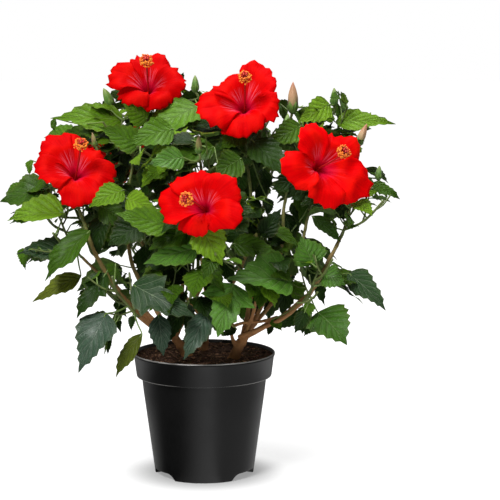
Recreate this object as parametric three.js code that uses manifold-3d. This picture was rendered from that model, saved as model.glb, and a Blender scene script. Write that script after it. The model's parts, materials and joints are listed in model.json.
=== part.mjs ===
// A potted hibiscus shrub in millimetres, +Z up. The origin is the middle of the pot's flat underside,
// +X is the viewer's right and -Y faces the viewer.
// Three stems stand on the compost and fork into boughs. Each bough carries one mass of foliage.
// A mass grows by a seeded rule: a leading shoot, side shoots from it, and leaves spiralling round them.

import * as THREE from 'three';
import { mergeVertices } from 'three/addons/utils/BufferGeometryUtils.js';
import Module from 'manifold-3d';

const wasm = await Module();
wasm.setup();

// Driving dimensions

const clearance = 0.3;

const pot = {
  segments: 24,
  rimRadius: 85,
  rimHeight: 147.5,
  bandFootRadius: 81,
  bandFootHeight: 119,
  bodyTopRadius: 75,
  footRadius: 59.3,
  wall: 1.8,
  floor: 3,
  notches: 3,
  notchWidth: 52,
  notchHeight: 8,
  notchDepth: 17,
  drainRadius: 4,
};

const compost = { top: 143, edgeDrop: 1.5, roughness: 1.6, rings: [22, 42, 62], seed: 5 };

const blossom = {
  radius: 51,
  throatDepth: 15,
  flare: 13,
  petals: 5,
  petalSteps: 3,
  petalThickness: 2,
  ruffle: 1,
  calyxLength: 28,
  calyxRadius: 7,
  columnLength: 46,
  columnRadius: 1.7,
  antherRadius: 6.2,
  bowlHeight: 95,
};

const leaf = {
  length: 72,
  widthShare: 0.7,
  thickness: 1.5,
  petioleRadius: 0.95,
  blade: [[0.28, 1], [0.64, 0.84]],
  lean: 1.25,
  hang: 0.7,
  leastShare: 0.5,
  spacing: 5.5,
  tries: 24,
};

const shoot = { tipRadius: 1.3, nodeStep: 15, turn: 2.4, sideRadius: 1.6, tries: 12 };

// Stems: where each foot stands on the compost, the points that it passes, and its radii

const stems = {
  stem_right: { path: [[36, -30, 143.3], [41, -32, 157], [49, -36, 173]], radii: [6.6, 5.6] },
  stem_left: { path: [[-20, -14, 143.3], [-27, -18, 158], [-38, -26, 174]], radii: [5.8, 5] },
  stem_back: { path: [[-2, 28, 143.3], [0, 34, 160], [4, 44, 182]], radii: [6.4, 5.4] },
};

const rootFlare = { share: 0.3, along: 0.31 };

// Boughs: the radii of each, and the points that it passes from its stem to its tip

const boughs = {
  bough_right_low: {
    radii: [3.6, 3],
    path: [[48, -35, 170], [74, -45, 187], [96, -55, 201], [124, -60, 226]],
  },
  bough_right_high: {
    radii: [3, 2.2],
    path: [[124, -60, 226], [137, -60, 247], [150, -55, 272], [160, -50, 291]],
  },
  bough_right_twin: {
    radii: [3, 2.2],
    path: [[43, -39, 172], [66, -54, 184], [94, -65, 199], [117, -72, 220]],
  },
  bough_middle_right: {
    radii: [2.7, 2],
    path: [[48, -36, 169], [58, -50, 200], [66, -60, 235]],
  },
  bough_top_right: {
    radii: [3.2, 1.9],
    path: [[46, -33, 168], [55, -20, 211], [64, -12, 262], [58, -8, 318], [52, -8, 368]],
  },
  bough_right_top: {
    radii: [3, 1.8],
    path: [[46, -32, 166], [72, -16, 212], [91, -14, 268], [96, -8, 325], [106, 2, 372]],
  },
  bough_right_back: {
    radii: [2.9, 1.9],
    path: [[44, -30, 166], [80, 2, 205], [110, 12, 252], [127, 18, 318]],
  },
  bough_left_high: {
    radii: [3.3, 2.2],
    path: [[-38, -26, 172], [-68, -46, 193], [-98, -62, 228], [-122, -70, 272], [-141, -64, 322]],
  },
  bough_left_tip: {
    radii: [2.9, 1.8],
    path: [[-36, -22, 170], [-72, -34, 198], [-104, -46, 232], [-140, -52, 268]],
  },
  bough_left_low: {
    radii: [2.6, 2],
    path: [[-36, -28, 169], [-56, -58, 184], [-74, -78, 203]],
  },
  bough_front_low: {
    radii: [2.6, 2],
    path: [[-34, -24, 168], [-28, -48, 188], [-18, -66, 212]],
  },
  bough_front: {
    radii: [2.9, 1.9],
    path: [[-34, -22, 168], [-14, -24, 208], [6, -34, 248], [8, -56, 284]],
  },
  bough_upper_middle: {
    radii: [2.9, 1.8],
    path: [[-34, -20, 168], [-26, -8, 220], [-24, -14, 280], [-26, -32, 336]],
  },
  bough_top_left: {
    radii: [3, 1.8],
    path: [[-36, -22, 169], [-66, -10, 216], [-86, -14, 262], [-90, -10, 320], [-84, -4, 372]],
  },
  bough_left_back: {
    radii: [2.7, 1.9],
    path: [[-38, -22, 170], [-74, 6, 198], [-110, 20, 228], [-134, 26, 262]],
  },
  bough_back_top: {
    radii: [3.2, 1.9],
    path: [[4, 44, 180], [2, 48, 250], [-2, 60, 318], [-6, 72, 370]],
  },
  bough_back_left: {
    radii: [3, 1.9],
    path: [[2, 42, 176], [-38, 56, 222], [-82, 64, 278], [-108, 70, 326]],
  },
  bough_back_right: {
    radii: [3, 1.9],
    path: [[4, 42, 176], [34, 60, 222], [62, 76, 282], [76, 88, 330]],
  },
  bough_back_middle: {
    radii: [2.9, 1.9],
    path: [[4, 44, 178], [0, 78, 212], [-8, 106, 256]],
  },
  bough_back_left_low: {
    radii: [2.7, 1.9],
    path: [[2, 42, 172], [-36, 70, 198], [-68, 88, 226]],
  },
  bough_back_right_low: {
    radii: [2.7, 1.9],
    path: [[4, 42, 172], [46, 70, 198], [76, 86, 226]],
  },
};

// Masses of foliage. Each keeps to its own space: a ball (centre and radius), cut by the plane
// that it shares with each neighbour's ball.
// lead: the points that its leading shoot passes after the bough's tip.
// reach: leaves that carry the crown's outline, each from its stalk's end to its tip.
// blossom: its place, the way it faces, where its first petal begins, in degrees, and how far its rim
// reaches at three spokes of each petal.
// buds: the place of each, the way it faces, and its length.

const masses = {
  mass_left_high: {
    bough: 'bough_left_high', ball: [-130, -56, 352, 84], seed: 11, leaves: 7, shoots: 2,
    lead: [[-147, -48, 344], [-144, -36, 366]],
    blossom: {
      at: [-144, -60, 371], faces: [0.19, -0.73, 0.66],
      turn: 158, rim: [46, 51, 46, 44, 54, 48, 44, 44, 46, 38, 38, 42, 58, 54, 52],
    },
    reach: [],
    buds: [{ at: [-125, -36, 396], faces: [-0.2, 0, 1], length: 17 }],
  },
  mass_left_tip: {
    bough: 'bough_left_tip', ball: [-188, -58, 296, 92], seed: 12, leaves: 6, shoots: 2,
    lead: [[-156, -52, 290], [-168, -50, 320]],
    reach: [
      [[-183, -45, 346], [-238, -45, 329]], [[-158, -80, 323], [-223, -80, 314]],
      [[-155, -62, 296], [-215, -70, 277]], [[-128, -85, 303], [-179, -98, 247]],
      [[-141, -62, 248], [-197, -64, 216]],
    ],
  },
  mass_left_low: {
    bough: 'bough_left_low', ball: [-104, -92, 202, 80], seed: 13, leaves: 6, shoots: 3,
    lead: [[-88, -86, 220], [-100, -88, 236]],
    reach: [
      [[-109, -96, 255], [-141, -110, 205]], [[-109, -102, 210], [-136, -125, 145]],
      [[-69, -92, 185], [-101, -102, 137]],
    ],
  },
  mass_front_low: {
    bough: 'bough_front_low', ball: [-22, -98, 222, 88], seed: 14, leaves: 6, shoots: 3,
    lead: [[-12, -80, 228], [4, -86, 244]],
    reach: [
      [[-66, -110, 238], [-8, -137, 209]], [[-50, -86, 206], [-42, -99, 161]],
      [[5, -102, 209], [-19, -117, 159]], [[34, -97, 238], [18, -125, 187]],
    ],
  },
  mass_middle_right: {
    bough: 'bough_middle_right', ball: [68, -92, 274, 80], seed: 15, leaves: 7, shoots: 3,
    lead: [[72, -72, 262], [72, -82, 296]],
    reach: [[[102, -98, 247], [29, -125, 251]], [[68, -96, 298], [90, -92, 330]]],
  },
  mass_right_low: {
    bough: 'bough_right_twin', ball: [148, -76, 240, 84], seed: 16, leaves: 6, shoots: 2,
    lead: [[127, -78, 238], [134, -76, 258]],
    reach: [
      [[127, -84, 264], [113, -78, 296]], [[140, -86, 254], [165, -97, 243]],
      [[169, -56, 250], [213, -60, 207]], [[133, -86, 209], [166, -112, 176]],
    ],
  },
  mass_right_high: {
    bough: 'bough_right_high', ball: [160, -52, 356, 84], seed: 17, leaves: 7, shoots: 2,
    lead: [[170, -42, 316], [174, -34, 350]],
    blossom: {
      at: [139, -80, 377], faces: [0.49, -0.81, 0.31],
      turn: 148, rim: [40, 56, 50, 42, 44, 50, 47, 57, 62, 50, 56, 45, 38, 53, 48],
    },
    reach: [[[177, -62, 334], [195, -78, 319]], [[195, -40, 353], [234, -40, 334]]],
    buds: [{ at: [205, -25, 356], faces: [0.1, 0, 1], length: 17 }],
  },
  mass_front: {
    bough: 'bough_front', ball: [-8, -130, 322, 84], seed: 18, leaves: 7, shoots: 2,
    lead: [[8, -84, 306], [8, -112, 322]],
    blossom: {
      at: [1, -160, 339], faces: [-0.28, -0.88, 0.38],
      turn: 7, rim: [47, 48, 43, 38, 40, 44, 44, 49, 46, 38, 32, 34, 28, 36, 52],
    },
    reach: [[[-35, -124, 313], [-96, -136, 328]], [[3, -146, 311], [23, -155, 272]]],
  },
  mass_upper_middle: {
    bough: 'bough_upper_middle', ball: [-36, -84, 398, 76], seed: 19, leaves: 7, shoots: 3,
    lead: [[-26, -50, 362], [-30, -62, 392]],
    reach: [[[-33, -68, 418], [-86, -86, 404]], [[-20, -96, 388], [-62, -114, 382]]],
    buds: [{ at: [-3, -92, 392], faces: [0, -0.1, 1], length: 22 }],
  },
  mass_top_left: {
    bough: 'bough_top_left', ball: [-90, 8, 430, 88], seed: 20, leaves: 8, shoots: 2,
    lead: [[-80, 4, 408], [-68, 16, 438]],
    blossom: {
      at: [-65, 0, 466], faces: [0, -0.77, 0.64],
      turn: 49, rim: [41, 48, 47, 42, 48, 50, 40, 38, 34, 32, 34, 36, 37, 42, 44],
    },
    reach: [[[-115, 2, 424], [-180, -5, 424]]],
    buds: [
      { at: [-109, 15, 440], faces: [-0.4, -0.1, 0.9], length: 24 },
      { at: [-10, 14, 456], faces: [0, 0, 1], length: 21 },
    ],
  },
  mass_top_right: {
    bough: 'bough_top_right', ball: [44, -14, 424, 80], seed: 21, leaves: 7, shoots: 3,
    lead: [[50, -8, 398], [50, -6, 424]],
    blossom: {
      at: [49, -30, 446], faces: [0, -0.8, 0.6],
      turn: 21, rim: [38, 47, 58, 44, 42, 42, 44, 59, 54, 50, 49, 44, 40, 43, 39],
    },
    reach: [],
  },
  mass_right_top: {
    bough: 'bough_right_top', ball: [142, 8, 420, 82], seed: 22, leaves: 7, shoots: 2,
    lead: [[118, 6, 400], [134, 10, 424]],
    reach: [[[157, 18, 421], [228, 10, 421]]],
    buds: [
      { at: [105, 0, 432], faces: [0.02, 0, 1], length: 38 },
      { at: [155, 20, 440], faces: [0, 0, 1], length: 22 },
      { at: [181, 0, 393], faces: [0.4, 0, 0.9], length: 30 },
    ],
  },
  mass_right_back: {
    bough: 'bough_right_back', ball: [158, 66, 340, 84], seed: 23, leaves: 7, shoots: 2,
    lead: [[138, 36, 348], [150, 60, 368]],
    blossom: {
      at: [152, 110, 344], faces: [0.64, 0.64, 0.42],
      turn: 33, rim: [40, 52, 52, 41, 54, 55, 40, 49, 48, 38, 47, 46, 40, 53, 52],
    },
    reach: [],
  },
  mass_left_back: {
    bough: 'bough_left_back', ball: [-162, 50, 300, 82], seed: 24, leaves: 7, shoots: 3,
    lead: [[-146, 36, 290], [-158, 44, 318]],
    reach: [],
  },
  mass_back_top: {
    bough: 'bough_back_top', ball: [6, 92, 430, 84], seed: 25, leaves: 7, shoots: 2,
    lead: [[-4, 86, 408], [2, 98, 436]],
    reach: [],
    buds: [
      { at: [4, 124, 432], faces: [0.1, 0.3, 0.9], length: 24 },
      { at: [34, 96, 438], faces: [0.4, 0, 0.9], length: 20 },
    ],
  },
  mass_back_left: {
    bough: 'bough_back_left', ball: [-122, 100, 376, 86], seed: 26, leaves: 7, shoots: 2,
    lead: [[-118, 82, 354], [-122, 96, 384]],
    blossom: {
      at: [-114, 126, 368], faces: [-0.5, 0.72, 0.48],
      turn: 75, rim: [41, 53, 53, 39, 48, 49, 38, 47, 46, 39, 50, 51, 40, 52, 53],
    },
    reach: [],
  },
  mass_back_right: {
    bough: 'bough_back_right', ball: [96, 124, 372, 84], seed: 27, leaves: 7, shoots: 3,
    lead: [[84, 100, 362], [92, 116, 390]],
    reach: [],
    buds: [{ at: [100, 138, 402], faces: [0.1, 0.3, 1], length: 24 }],
  },
  mass_back_middle: {
    bough: 'bough_back_middle', ball: [-12, 146, 312, 84], seed: 28, leaves: 7, shoots: 2,
    lead: [[-12, 124, 288], [-12, 140, 318]],
    blossom: {
      at: [-6, 172, 306], faces: [0.05, 0.92, 0.36],
      turn: 12, rim: [40, 53, 52, 39, 51, 50, 38, 48, 49, 37, 46, 46, 41, 53, 54],
    },
    reach: [],
  },
  mass_back_left_low: {
    bough: 'bough_back_left_low', ball: [-100, 104, 254, 80], seed: 31, leaves: 7, shoots: 3,
    lead: [[-84, 96, 246], [-98, 102, 270]],
    reach: [],
  },
  mass_back_right_low: {
    bough: 'bough_back_right_low', ball: [100, 98, 256, 80], seed: 30, leaves: 7, shoots: 3,
    lead: [[90, 92, 246], [102, 96, 270]],
    reach: [],
  },
};

// The crown's outermost reach on each side and its top
const crownEdge = { left: -239, right: 237, front: -206, back: 214, top: 510, bottom: 60 };

// Lines of sight that stay open through the crown, from the viewer's eye past a point, with a radius
const eye = [55, -2200, 556];
const openings = [
  { past: [-158, -60, 296], radius: 9 },
  { past: [-133, -60, 284], radius: 10 },
  { past: [-88, -30, 258], radius: 9 },
  { past: [134, 0, 300], radius: 13 },
  { past: [108, 0, 312], radius: 10 },
  { past: [100, 0, 420], radius: 10 },
  { past: [221, -60, 281], radius: 44 },
  { past: [-178, -60, 189], radius: 32 },
  { past: [-152, 0, 472], radius: 34 },
  { past: [131, 0, 466], radius: 19 },
  { past: [-211, -60, 296], radius: 14 },
  { past: [-190, -60, 303], radius: 10 },
  { past: [213, 0, 394], radius: 22 },
  { past: [247, 0, 361], radius: 26 },
  { past: [170, -60, 272], radius: 13 },
  { past: [208, 0, 479], radius: 46 },
  { past: [10, 0, 495], radius: 23 },
  { past: [-111, -60, 216], radius: 8 },
  { past: [216, -60, 317], radius: 13 },
  { past: [-124, -60, 141], radius: 12 },
  { past: [198, 0, 376], radius: 9 },
  { past: [180, -60, 316], radius: 6 },
  { past: [163, -60, 220], radius: 6 },
  { past: [183, 0, 442], radius: 10 },
  { past: [-235, -60, 244], radius: 31 },
  { past: [93, 0, 471], radius: 8 },
  { past: [-205, 0, 387], radius: 8 },
  { past: [-196, -60, 247], radius: 10 },
  { past: [-129, 0, 452], radius: 8 },
];

// Colours

const colours = {
  pot: 0x161616, compost: 0x3a2619, bark: 0x7d6647,
  leafBright: 0x4f8a24, leafMid: 0x35701f, leafDark: 0x275a2a,
};

// Small tools

const vector = (p) => new THREE.Vector3(...p);

function drawsFrom(seed) {
  let state = seed >>> 0;
  const draw = () => {
    state = (Math.imul(state, 1664525) + 1013904223) >>> 0;
    return state / 4294967296;
  };
  for (let warm = 0; warm < 4; warm++) draw();
  return draw;
}

// A unit vector square to an axis, as near as it can be to a wanted direction
function squareTo(axis, wanted) {
  const side = wanted.clone().addScaledVector(axis, -wanted.dot(axis));
  if (side.lengthSq() < 1e-6) side.set(axis.y, axis.z, axis.x).addScaledVector(axis, -0.5);
  return side.normalize();
}

function curveThrough(points) {
  return new THREE.CatmullRomCurve3(points, false, 'catmullrom', 0.5);
}

function toSolid(geometry) {
  geometry.deleteAttribute('normal');
  geometry.deleteAttribute('uv');
  const merged = mergeVertices(geometry, 1e-4);
  return new wasm.Manifold(new wasm.Mesh({
    numProp: 3,
    vertProperties: new Float32Array(merged.attributes.position.array),
    triVerts: new Uint32Array(merged.index.array),
  }));
}

// The largest closed shell: a loose scrap is dropped and a sealed hollow is filled
function wholeBody(solid) {
  const shells = solid.decompose();
  return shells.sort((a, b) => b.volume() - a.volume())[0];
}

function toMesh(name, solid, root, colour, roughness) {
  const data = solid.getMesh();
  const geometry = new THREE.BufferGeometry();
  geometry.setAttribute('position', new THREE.BufferAttribute(data.vertProperties, 3));
  geometry.setIndex(new THREE.BufferAttribute(data.triVerts, 1));
  geometry.translate(-root[0], -root[1], -root[2]);
  geometry.computeVertexNormals();
  const material = new THREE.MeshStandardMaterial({ color: colour, roughness, metalness: 0 });
  const mesh = new THREE.Mesh(geometry, material);
  mesh.name = name;
  mesh.position.set(...root);
  return mesh;
}

// A round limb: a cylinder whose rings are moved onto a curve, each with its own radius
function limbSolid(curve, radiusAt, sides, steps) {
  const geometry = new THREE.CylinderGeometry(1, 1, 1, sides, steps);
  const place = geometry.attributes.position;
  const chord = curve.getPoint(1).sub(curve.getPoint(0)).normalize();
  const level = Math.abs(chord.z) > 0.7 ? new THREE.Vector3(1, 0, 0) : new THREE.Vector3(0, 0, 1);
  for (let i = 0; i < place.count; i++) {
    const along = place.getY(i) + 0.5;
    const tangent = curve.getTangent(along);
    const side = squareTo(tangent, level);
    const across = side.clone().cross(tangent);
    const radius = radiusAt(along);
    const point = curve.getPoint(along)
      .addScaledVector(side, place.getX(i) * radius)
      .addScaledVector(across, place.getZ(i) * radius);
    place.setXYZ(i, point.x, point.y, point.z);
  }
  return toSolid(geometry);
}

// The pot and its compost

function latheSolid(profile) {
  const points = profile.map(([radius, height]) => new THREE.Vector2(radius, height));
  const geometry = new THREE.LatheGeometry(points, pot.segments);
  geometry.rotateX(Math.PI / 2);
  return toSolid(geometry);
}

// An arched recess in the pot's foot, grown on every side by the thickness of its own roof
function notchSolid(turn, grown) {
  const half = pot.notchWidth / 2 + grown;
  const top = pot.notchHeight + grown;
  const depth = pot.notchDepth + 10;
  const outline = new THREE.Shape();
  outline.moveTo(-half, -1);
  outline.lineTo(half, -1);
  outline.lineTo(half * 0.82, top * 0.75);
  outline.lineTo(half * 0.72, top);
  outline.lineTo(-half * 0.72, top);
  outline.lineTo(-half * 0.82, top * 0.75);
  const geometry = new THREE.ExtrudeGeometry(outline, { depth: depth + grown, bevelEnabled: false });
  geometry.translate(0, 0, pot.footRadius - pot.notchDepth - grown);
  geometry.rotateX(Math.PI / 2);
  geometry.rotateZ(turn);
  return toSolid(geometry);
}

function drainSolid(turn) {
  const geometry = new THREE.CylinderGeometry(pot.drainRadius, pot.drainRadius, 12, 6);
  geometry.rotateX(Math.PI / 2);
  geometry.translate(0, -(pot.footRadius - pot.notchDepth / 2 - 2), pot.notchHeight);
  geometry.rotateZ(turn);
  return toSolid(geometry);
}

const notchTurns = Array.from({ length: pot.notches }, (_, i) => ((i + 0.5) / pot.notches) * 2 * Math.PI);

// The room inside the pot's wall, smaller all round by a gap, up to a given height
function insideProfile(gap, top) {
  const inset = pot.wall + gap;
  const stepTop = pot.bandFootHeight + pot.wall + gap;
  const rise = (top - stepTop) / (pot.rimHeight - stepTop);
  return [
    [0, pot.floor + gap],
    [pot.footRadius - inset, pot.floor + gap],
    [pot.bodyTopRadius - inset, pot.bandFootHeight + gap],
    [pot.bandFootRadius - inset, stepTop],
    [pot.bandFootRadius - inset + (pot.rimRadius - pot.bandFootRadius) * rise, top],
  ];
}

function potSolid() {
  const outside = latheSolid([
    [0, 0],
    [pot.footRadius - 1.5, 0],
    [pot.footRadius, 1.5],
    [pot.bodyTopRadius, pot.bandFootHeight - 1],
    [pot.bandFootRadius - 1, pot.bandFootHeight],
    [pot.bandFootRadius, pot.bandFootHeight + 1.5],
    [pot.rimRadius - 0.8, pot.rimHeight - 2.4],
    [pot.rimRadius, pot.rimHeight - 1.4],
    [pot.rimRadius - 0.6, pot.rimHeight],
    [0, pot.rimHeight],
  ]);
  let room = latheSolid([...insideProfile(0, pot.rimHeight + 1), [0, pot.rimHeight + 1]]);
  let body = outside;
  for (const turn of notchTurns) room = room.subtract(notchSolid(turn, pot.wall));
  body = body.subtract(room);
  for (const turn of notchTurns) {
    body = body.subtract(notchSolid(turn, 0)).subtract(drainSolid(turn));
  }
  return wholeBody(body);
}

function compostSolid() {
  const edge = insideProfile(clearance, compost.top - compost.edgeDrop);
  const rings = compost.rings.map((radius) => [radius, compost.top]).reverse();
  const points = [...edge, ...rings, [0, compost.top]];
  const outline = points.map(([radius, height]) => new THREE.Vector2(radius, height));
  const geometry = new THREE.LatheGeometry(outline, pot.segments / 2);
  geometry.rotateX(Math.PI / 2);
  const feet = Object.values(stems).map((stem) => vector(stem.path[0]));
  const place = geometry.attributes.position;
  const columns = points.length;
  const draw = drawsFrom(compost.seed);
  for (let i = 0; i < place.count - columns; i++) {
    const lump = (draw() - 0.7) * compost.roughness;
    const step = i % columns;
    if (step < edge.length || step === columns - 1) continue;
    const spot = new THREE.Vector3(place.getX(i), place.getY(i), stems.stem_right.path[0][2]);
    if (feet.some((foot) => foot.distanceTo(spot) < 26)) continue;
    place.setZ(i, compost.top + Math.min(lump, 0));
    if (i < columns) place.setZ(place.count - columns + i, compost.top + Math.min(lump, 0));
  }
  let body = toSolid(geometry);
  for (const turn of notchTurns) body = body.subtract(notchSolid(turn, pot.wall + clearance));
  return wholeBody(body);
}

// Stems and boughs

function taper(radii, flared) {
  return (along) => {
    const radius = radii[0] + (radii[1] - radii[0]) * along;
    const flare = flared ? rootFlare.share * Math.max(0, 1 - along / rootFlare.along) ** 2 : 0;
    return radius * (1 + flare);
  };
}

const limbs = {};
for (const [name, { path, radii }] of Object.entries({ ...stems, ...boughs })) {
  limbs[name] = { curve: curveThrough(path.map(vector)), radii, radiusAt: taper(radii, name in stems) };
}

function limbBody(limb, grown, sides, steps) {
  return limbSolid(limb.curve, (along) => limb.radiusAt(along) + grown, sides, steps);
}

// Each limb is cut clear of those before it, and the stem feet are cut flat on the compost
function limbSolids() {
  const solids = {};
  const grown = [];
  for (const [name, limb] of Object.entries(limbs)) {
    const isStem = name in stems;
    const sides = isStem ? 8 : 5;
    const steps = isStem ? 3 : boughs[name].path.length;
    let body = limbBody(limb, 0, sides, steps);
    for (const other of grown) body = body.subtract(other);
    solids[name] = wholeBody(body);
    grown.push(limbBody(limb, clearance, sides, steps));
  }
  const soilLevel = stems.stem_right.path[0][2];
  const ground = toSolid(new THREE.BoxGeometry(400, 400, 40).translate(0, 0, soilLevel - 20));
  for (const name of Object.keys(stems)) solids[name] = wholeBody(solids[name].subtract(ground));
  return solids;
}

// The space of a mass

const balls = Object.fromEntries(Object.entries(masses).map(([name, mass]) => {
  const [x, y, z, radius] = mass.ball;
  return [name, { centre: new THREE.Vector3(x, y, z), radius }];
}));

function spaceOf(name) {
  const own = balls[name];
  const planes = [];
  for (const [otherName, other] of Object.entries(balls)) {
    if (otherName === name) continue;
    const towards = other.centre.clone().sub(own.centre);
    const apart = towards.length();
    towards.divideScalar(apart);
    const reach = (apart * apart + own.radius ** 2 - other.radius ** 2) / (2 * apart);
    planes.push({ towards, limit: own.centre.dot(towards) + reach - clearance / 2 });
  }
  return { ...own, planes };
}

const eyePoint = vector(eye);

function seesSky(point) {
  return openings.some(({ past, radius }) => {
    const line = vector(past).sub(eyePoint);
    const away = line.length();
    line.divideScalar(away);
    const offset = point.clone().sub(eyePoint);
    const along = offset.dot(line);
    const aside = offset.addScaledVector(line, -along).length();
    return aside < (radius * along) / away;
  });
}

function inSpace(space, point, slack) {
  if (point.distanceTo(space.centre) > space.radius * slack) return false;
  if (space.planes.some(({ towards, limit }) => point.dot(towards) > limit)) return false;
  const fromAxis = Math.hypot(point.x, point.y);
  if (fromAxis < pot.rimRadius + 4 && point.z < pot.rimHeight + 3) return false;
  if (point.x < crownEdge.left || point.x > crownEdge.right) return false;
  if (point.y < crownEdge.front || point.y > crownEdge.back) return false;
  return point.z > crownEdge.bottom && point.z < crownEdge.top;
}

// Points down the middle of every limb, with the limb's radius, for keeping leaves and shoots off it
const limbPoints = [];
for (const limb of Object.values(limbs)) {
  const count = Math.ceil(limb.curve.getLength() / 4);
  for (let i = 0; i <= count; i++) {
    limbPoints.push({ at: limb.curve.getPoint(i / count), radius: limb.radiusAt(i / count) });
  }
}

// The open bowl before each blossom, which foliage leaves free so that the flower shows
const bowls = Object.values(masses).filter((mass) => mass.blossom).map((mass) => ({
  at: vector(mass.blossom.at), faces: vector(mass.blossom.faces).normalize(),
}));

function inBowl(point, margin) {
  return bowls.some(({ at, faces }) => {
    const offset = point.clone().sub(at);
    const height = offset.dot(faces);
    if (height < -blossom.throatDepth - margin || height > blossom.bowlHeight) return false;
    return offset.addScaledVector(faces, -height).length() < blossom.radius + 3 + margin;
  });
}

// Leaves

// A point of a blade: u runs from the stalk to the tip, v across it from -1 to 1, lift is off the face
function bladePoint(blade, u, v, halfWidth, lift) {
  const turn = blade.droop * u;
  const radius = blade.length / blade.droop;
  const middle = blade.base.clone()
    .addScaledVector(blade.along, radius * Math.sin(turn))
    .addScaledVector(blade.up, -radius * (1 - Math.cos(turn)));
  const face = blade.up.clone().multiplyScalar(Math.cos(turn)).addScaledVector(blade.along, Math.sin(turn));
  return middle
    .addScaledVector(blade.side, v * halfWidth)
    .addScaledVector(face, Math.abs(v) * halfWidth * blade.fold + lift);
}

function leafSpots(blade) {
  const spots = [];
  for (const [u, share] of [[0.02, 0.1], [0.28, 0.95], [0.5, 0.98], [0.74, 0.66], [1, 0]]) {
    for (const v of share > 0.2 ? [-1, -0.45, 0, 0.45, 1] : [0]) {
      spots.push(bladePoint(blade, u, v, (blade.width / 2) * share, 0));
    }
  }
  return spots;
}

// Spots close enough together that no limb slips between them
function closeSpots(blade) {
  const spots = [];
  for (let i = 0; i <= 9; i++) {
    const half = (blade.width / 2) * Math.sin(Math.PI * Math.min(1, 0.12 + i * 0.098));
    for (const v of [-1, -0.66, -0.33, 0, 0.33, 0.66, 1]) spots.push(bladePoint(blade, i / 9, v, half, 0));
  }
  return spots;
}

function stalkSpots(blade) {
  return [0.25, 0.5, 0.75].map((share) => blade.root.clone().lerp(blade.base, share));
}

function makeBlade(root, base, tip, outward, width, droop) {
  const along = tip.clone().sub(base);
  const length = along.length() / (Math.sin(droop / 2) / (droop / 2));
  along.normalize();
  const up = squareTo(along, outward);
  const side = along.clone().cross(up);
  const half = droop / 2;
  const startAlong = along.clone().multiplyScalar(Math.cos(half)).addScaledVector(up, Math.sin(half));
  const startUp = up.clone().multiplyScalar(Math.cos(half)).addScaledVector(along, -Math.sin(half));
  return { root, base, length, width, droop, fold: 0.16, along: startAlong, up: startUp, side };
}

// The way a blade's upper face turns: to the sky, and away from the pot's axis
function faceOutward(point) {
  const level = new THREE.Vector3(point.x, point.y, 0).divideScalar(110);
  if (level.length() > 1) level.normalize();
  return level.multiplyScalar(leaf.lean).add(new THREE.Vector3(0, 0, 1)).normalize();
}

function anyNear(points, others, gap) {
  return points.some((point) => others.some((other) => point.distanceTo(other) < gap));
}

function bladeFits(blade, plan) {
  const spots = leafSpots(blade);
  const stalk = stalkSpots(blade);
  const all = [...spots, ...stalk];
  if (!all.every((spot) => inSpace(plan.space, spot, plan.slack))) return false;
  if (all.some((spot) => inBowl(spot, 0)) || spots.some(seesSky)) return false;
  const reach = blade.length * 0.75;
  const middle = spots[8];
  const close = closeSpots(blade);
  for (const { at, radius } of limbPoints) {
    if (at.distanceTo(middle) > reach + radius + 2) continue;
    if (anyNear(close, [at], radius + 3.6) || anyNear(stalk, [at], radius + 2)) return false;
  }
  if (plan.placed) return true;
  for (const line of plan.lines) {
    const points = line.points.filter((point) => point.distanceTo(blade.root) > 9);
    if (anyNear(close, points, 4.5)) return false;
  }
  return plan.spots.every((other) => {
    if (other.middle.distanceTo(middle) > reach + other.reach) return true;
    return !anyNear(close, other.spots, leaf.spacing) && !anyNear(stalk, other.spots, 4);
  });
}

function keepBlade(blade, plan) {
  const spots = leafSpots(blade);
  plan.blades.push(blade);
  plan.spots.push({ middle: spots[8], reach: blade.length * 0.75, spots });
}

// Shoots

function shootClear(points, plan) {
  return points.every((point) => {
    if (!inSpace(plan.space, point, 0.96) || inBowl(point, 2) || seesSky(point)) return false;
    return limbPoints.every(({ at, radius }) => at.distanceTo(point) > radius + 3.5);
  });
}

function shootTo(from, to, sag) {
  const middle = from.clone().lerp(to, 0.5);
  middle.z -= sag;
  return curveThrough([from, middle, to]);
}

// The point of the mass's shoots from which a stalk reaches a place by the shortest upward way
function springPoint(place, plan, leastRise) {
  let best = null;
  for (const line of plan.lines) {
    for (let i = 2; i <= 12; i++) {
      const along = i / 12;
      const at = line.curve.getPoint(along);
      if (at.distanceTo(plan.start) < 8) continue;
      const away = at.distanceTo(place);
      const cost = away + Math.max(0, leastRise - (place.z - at.z)) * 0.6;
      if (!best || cost < best.cost) best = { cost, at, line, along };
    }
  }
  return best;
}

// A line of shoots keeps points down its middle, so that leaves can stay off it
function shootLine(curve, radii, bare) {
  const count = Math.max(3, Math.ceil(curve.getLength() / 6));
  const points = Array.from({ length: count + 1 }, (_, i) => curve.getPoint(i / count));
  return { curve, radii, bare, points };
}

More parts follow.
